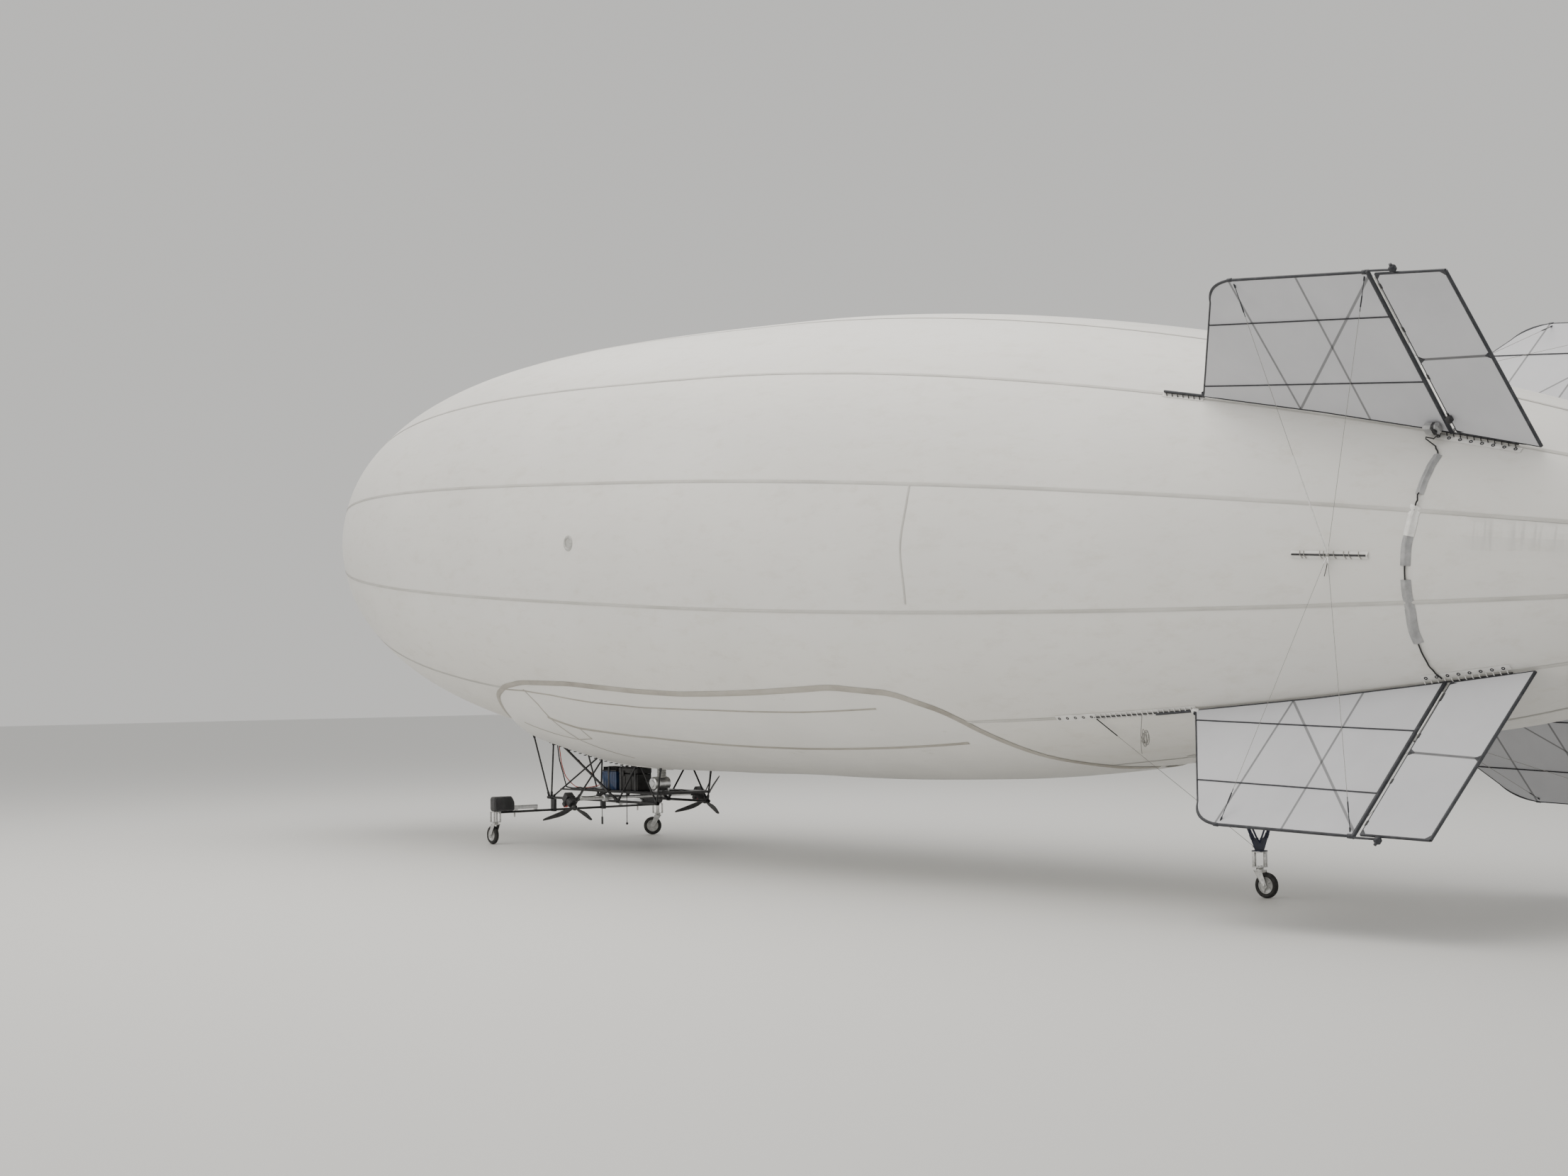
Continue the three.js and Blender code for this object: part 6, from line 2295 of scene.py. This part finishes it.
boom = eased_copy("motor_boom", "motor_boom_tube", 0.0018)
dress(boom, bright_alloy, "bright_metal")
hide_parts("motor_boom")
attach(boom, "hull")

MOTOR_PIVOT = (-4.477, 0.777, 0.473)
MOTOR_TILT = math.radians(40)
BOOM_END = 0.665
PROPELLER_OFFSET = 0.112
PROPELLER_PHASES = {"left": math.radians(26.5), "right": math.radians(24)}

BLADE_ROOT = 0.018
BLADE_LENGTH = 0.3168
# Columns: radius, chord, blade angle in degrees, thickness.
BLADE = [
    (BLADE_ROOT, 0.020, 48, 0.0120),
    (0.045, 0.031, 42, 0.0098),
    (0.080, 0.045, 34, 0.0080),
    (0.130, 0.053, 27, 0.0066),
    (0.190, 0.050, 21, 0.0054),
    (0.250, 0.041, 17, 0.0042),
    (0.306, 0.030, 14.5, 0.0032),
    (0.328, 0.019, 13.5, 0.0022),
    (0.3348, 0.006, 13, 0.0010),
]


def blade_row(radius, column):
    """A value of the blade table, eased between its rows."""
    for row, following in zip(BLADE, BLADE[1:]):
        if radius <= following[0]:
            share = (radius - row[0]) / (following[0] - row[0])
            return row[column] + (following[column] - row[column]) * share
    return BLADE[-1][column]


def blade_point(u, v):
    """A point of the blade: u along it, v round its section from the leading edge."""
    radius = BLADE_ROOT + BLADE_LENGTH * (1 - (1 - u) ** 1.35)
    chord, thickness = blade_row(radius, 1), blade_row(radius, 3)
    angle = math.radians(blade_row(radius, 2))
    turn = v * math.tau
    aside = chord * 0.5 * math.cos(turn) - 0.010 * math.sin(math.pi * min(1, radius / 0.30))
    rise = 0.5 * thickness * math.sin(turn) * (1 + 0.3 * math.cos(turn))
    camber = 0.05 * chord * math.sin(turn) ** 2
    depth = rise + camber
    return Vector((
        -aside * math.sin(angle) + depth * math.cos(angle),
        -radius,
        aside * math.cos(angle) + depth * math.sin(angle),
    ))


blades = []
for k in range(3):
    blade = sew_closed(sheet_of_cloth(f"blade_{k}", 44, 22, blade_point), 0.00005)
    blades.append(placed(blade, Matrix.Rotation(math.tau * k / 3, 4, "X")))
hub = turned("propeller_hub", [
    (-0.013, 0.0), (-0.013, 0.024), (-0.010, 0.0285), (-0.004, 0.030), (0.006, 0.030), (0.011, 0.0275),
    (0.020, 0.0235), (0.029, 0.0165), (0.035, 0.0085), (0.037, 0.0),
], (0, 0, 0), (1, 0, 0), 36)
propeller_model = joined("propeller_model", [*blades, hub])
placed(propeller_model, Matrix.Translation((PROPELLER_OFFSET, 0, 0)))
smooth(propeller_model, 50)
blade_composite = mottled("black_blade_composite", (26, 4), [
    (0.35, (0.012, 0.012, 0.013)),
    (0.70, (0.030, 0.030, 0.032)),
], {"Roughness": 0.30, "Coat Weight": 0.25}, (90, 3), 0.08, 0.001)

motor_can = turned("motor_can", [
    (0.004, 0.0), (0.004, 0.036), (0.008, 0.0425), (0.014, 0.044), (0.030, 0.044), (0.031, 0.0425),
    (0.034, 0.0425), (0.035, 0.044), (0.066, 0.044), (0.074, 0.041), (0.078, 0.034), (0.080, 0.022),
    (0.080, 0.010), (0.084, 0.0075), (0.098, 0.0075), (0.098, 0.0),
], (0, 0, 0), (1, 0, 0), 40)
RIB_OUT = 0.0438
cooling_ribs = []
for k in range(18):
    angle = math.tau * k / 18
    cooling_ribs.append(tubes("cooling_rib", 0.0022, [[
        (x, RIB_OUT * math.cos(angle), RIB_OUT * math.sin(angle)) for x in (0.038, 0.064)
    ]], 6))
motor_parts = [
    motor_can,
    *cooling_ribs,
    block("tilt_block", (-0.060, -0.046, -0.044), (0.006, 0.046, 0.044), 0.008, 3),
    block("tilt_plate", (-0.002, -0.048, -0.046), (0.008, 0.048, 0.046), 0.003),
    block("controller", (-0.052, -0.022, -0.104), (-0.008, 0.022, -0.040), 0.004),
    *[
        block(
            f"controller_fin_{k}", (-0.056, -0.018 + k * 0.009, -0.100),
            (-0.050, -0.0145 + k * 0.009, -0.046), 0.001, 1,
        )
        for k in range(5)
    ],
]
motor_model = smooth(joined("motor_model", motor_parts), 38)
motor_leads_model = tubes("motor_leads_model", 0.0030, [
    [
        (-0.030, offset, -0.100), (-0.016, offset, -0.112), (0.004, offset, -0.094),
        (0.016, offset * 0.8, -0.064), (0.020, offset * 0.6, -0.040),
    ]
    for offset in (-0.012, 0.0, 0.012)
], 8)

for name, side in (("left", -1), ("right", 1)):
    pivot = (MOTOR_PIVOT[0], side * MOTOR_PIVOT[1], MOTOR_PIVOT[2])
    tilted = Matrix.Translation(pivot) @ Matrix.Rotation(MOTOR_TILT, 4, "Y")
    motor = copy_of(motor_model, f"tilting_motor_{name}", tilted)
    arm_length = MOTOR_PIVOT[1] - BOOM_END - 0.0003
    arm_sleeve = turned("motor_arm", [
        (0.030, 0.0), (0.030, 0.0180), (arm_length - 0.034, 0.0180), (arm_length - 0.032, 0.0215),
        (arm_length - 0.008, 0.0215), (arm_length - 0.006, 0.0180), (arm_length - 0.001, 0.0165),
        (arm_length, 0.0150), (arm_length, 0.0),
    ], (0, 0, 0), (0, -side, 0), 28)
    motor = smooth(joined(f"tilting_motor_{name}", [motor, placed(arm_sleeve, tilted)]), 38)
    dress(motor, black_fitting, "black_housing")
    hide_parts(f"motor_{name}")
    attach(motor, f"motor_{name}")
    leads = copy_of(motor_leads_model, f"motor_leads_{name}", tilted)
    dress(leads, red_jacket, "black_cable")
    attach(leads, f"motor_{name}")
    spun = tilted @ Matrix.Rotation(PROPELLER_PHASES[name], 4, "X")
    propeller = copy_of(propeller_model, f"three_blade_propeller_{name}", spun)
    dress(propeller, blade_composite, "propeller_black")
    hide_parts(f"propeller_{name}")
    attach(propeller, f"propeller_{name}")
put_away(motor_model, motor_leads_model, propeller_model)
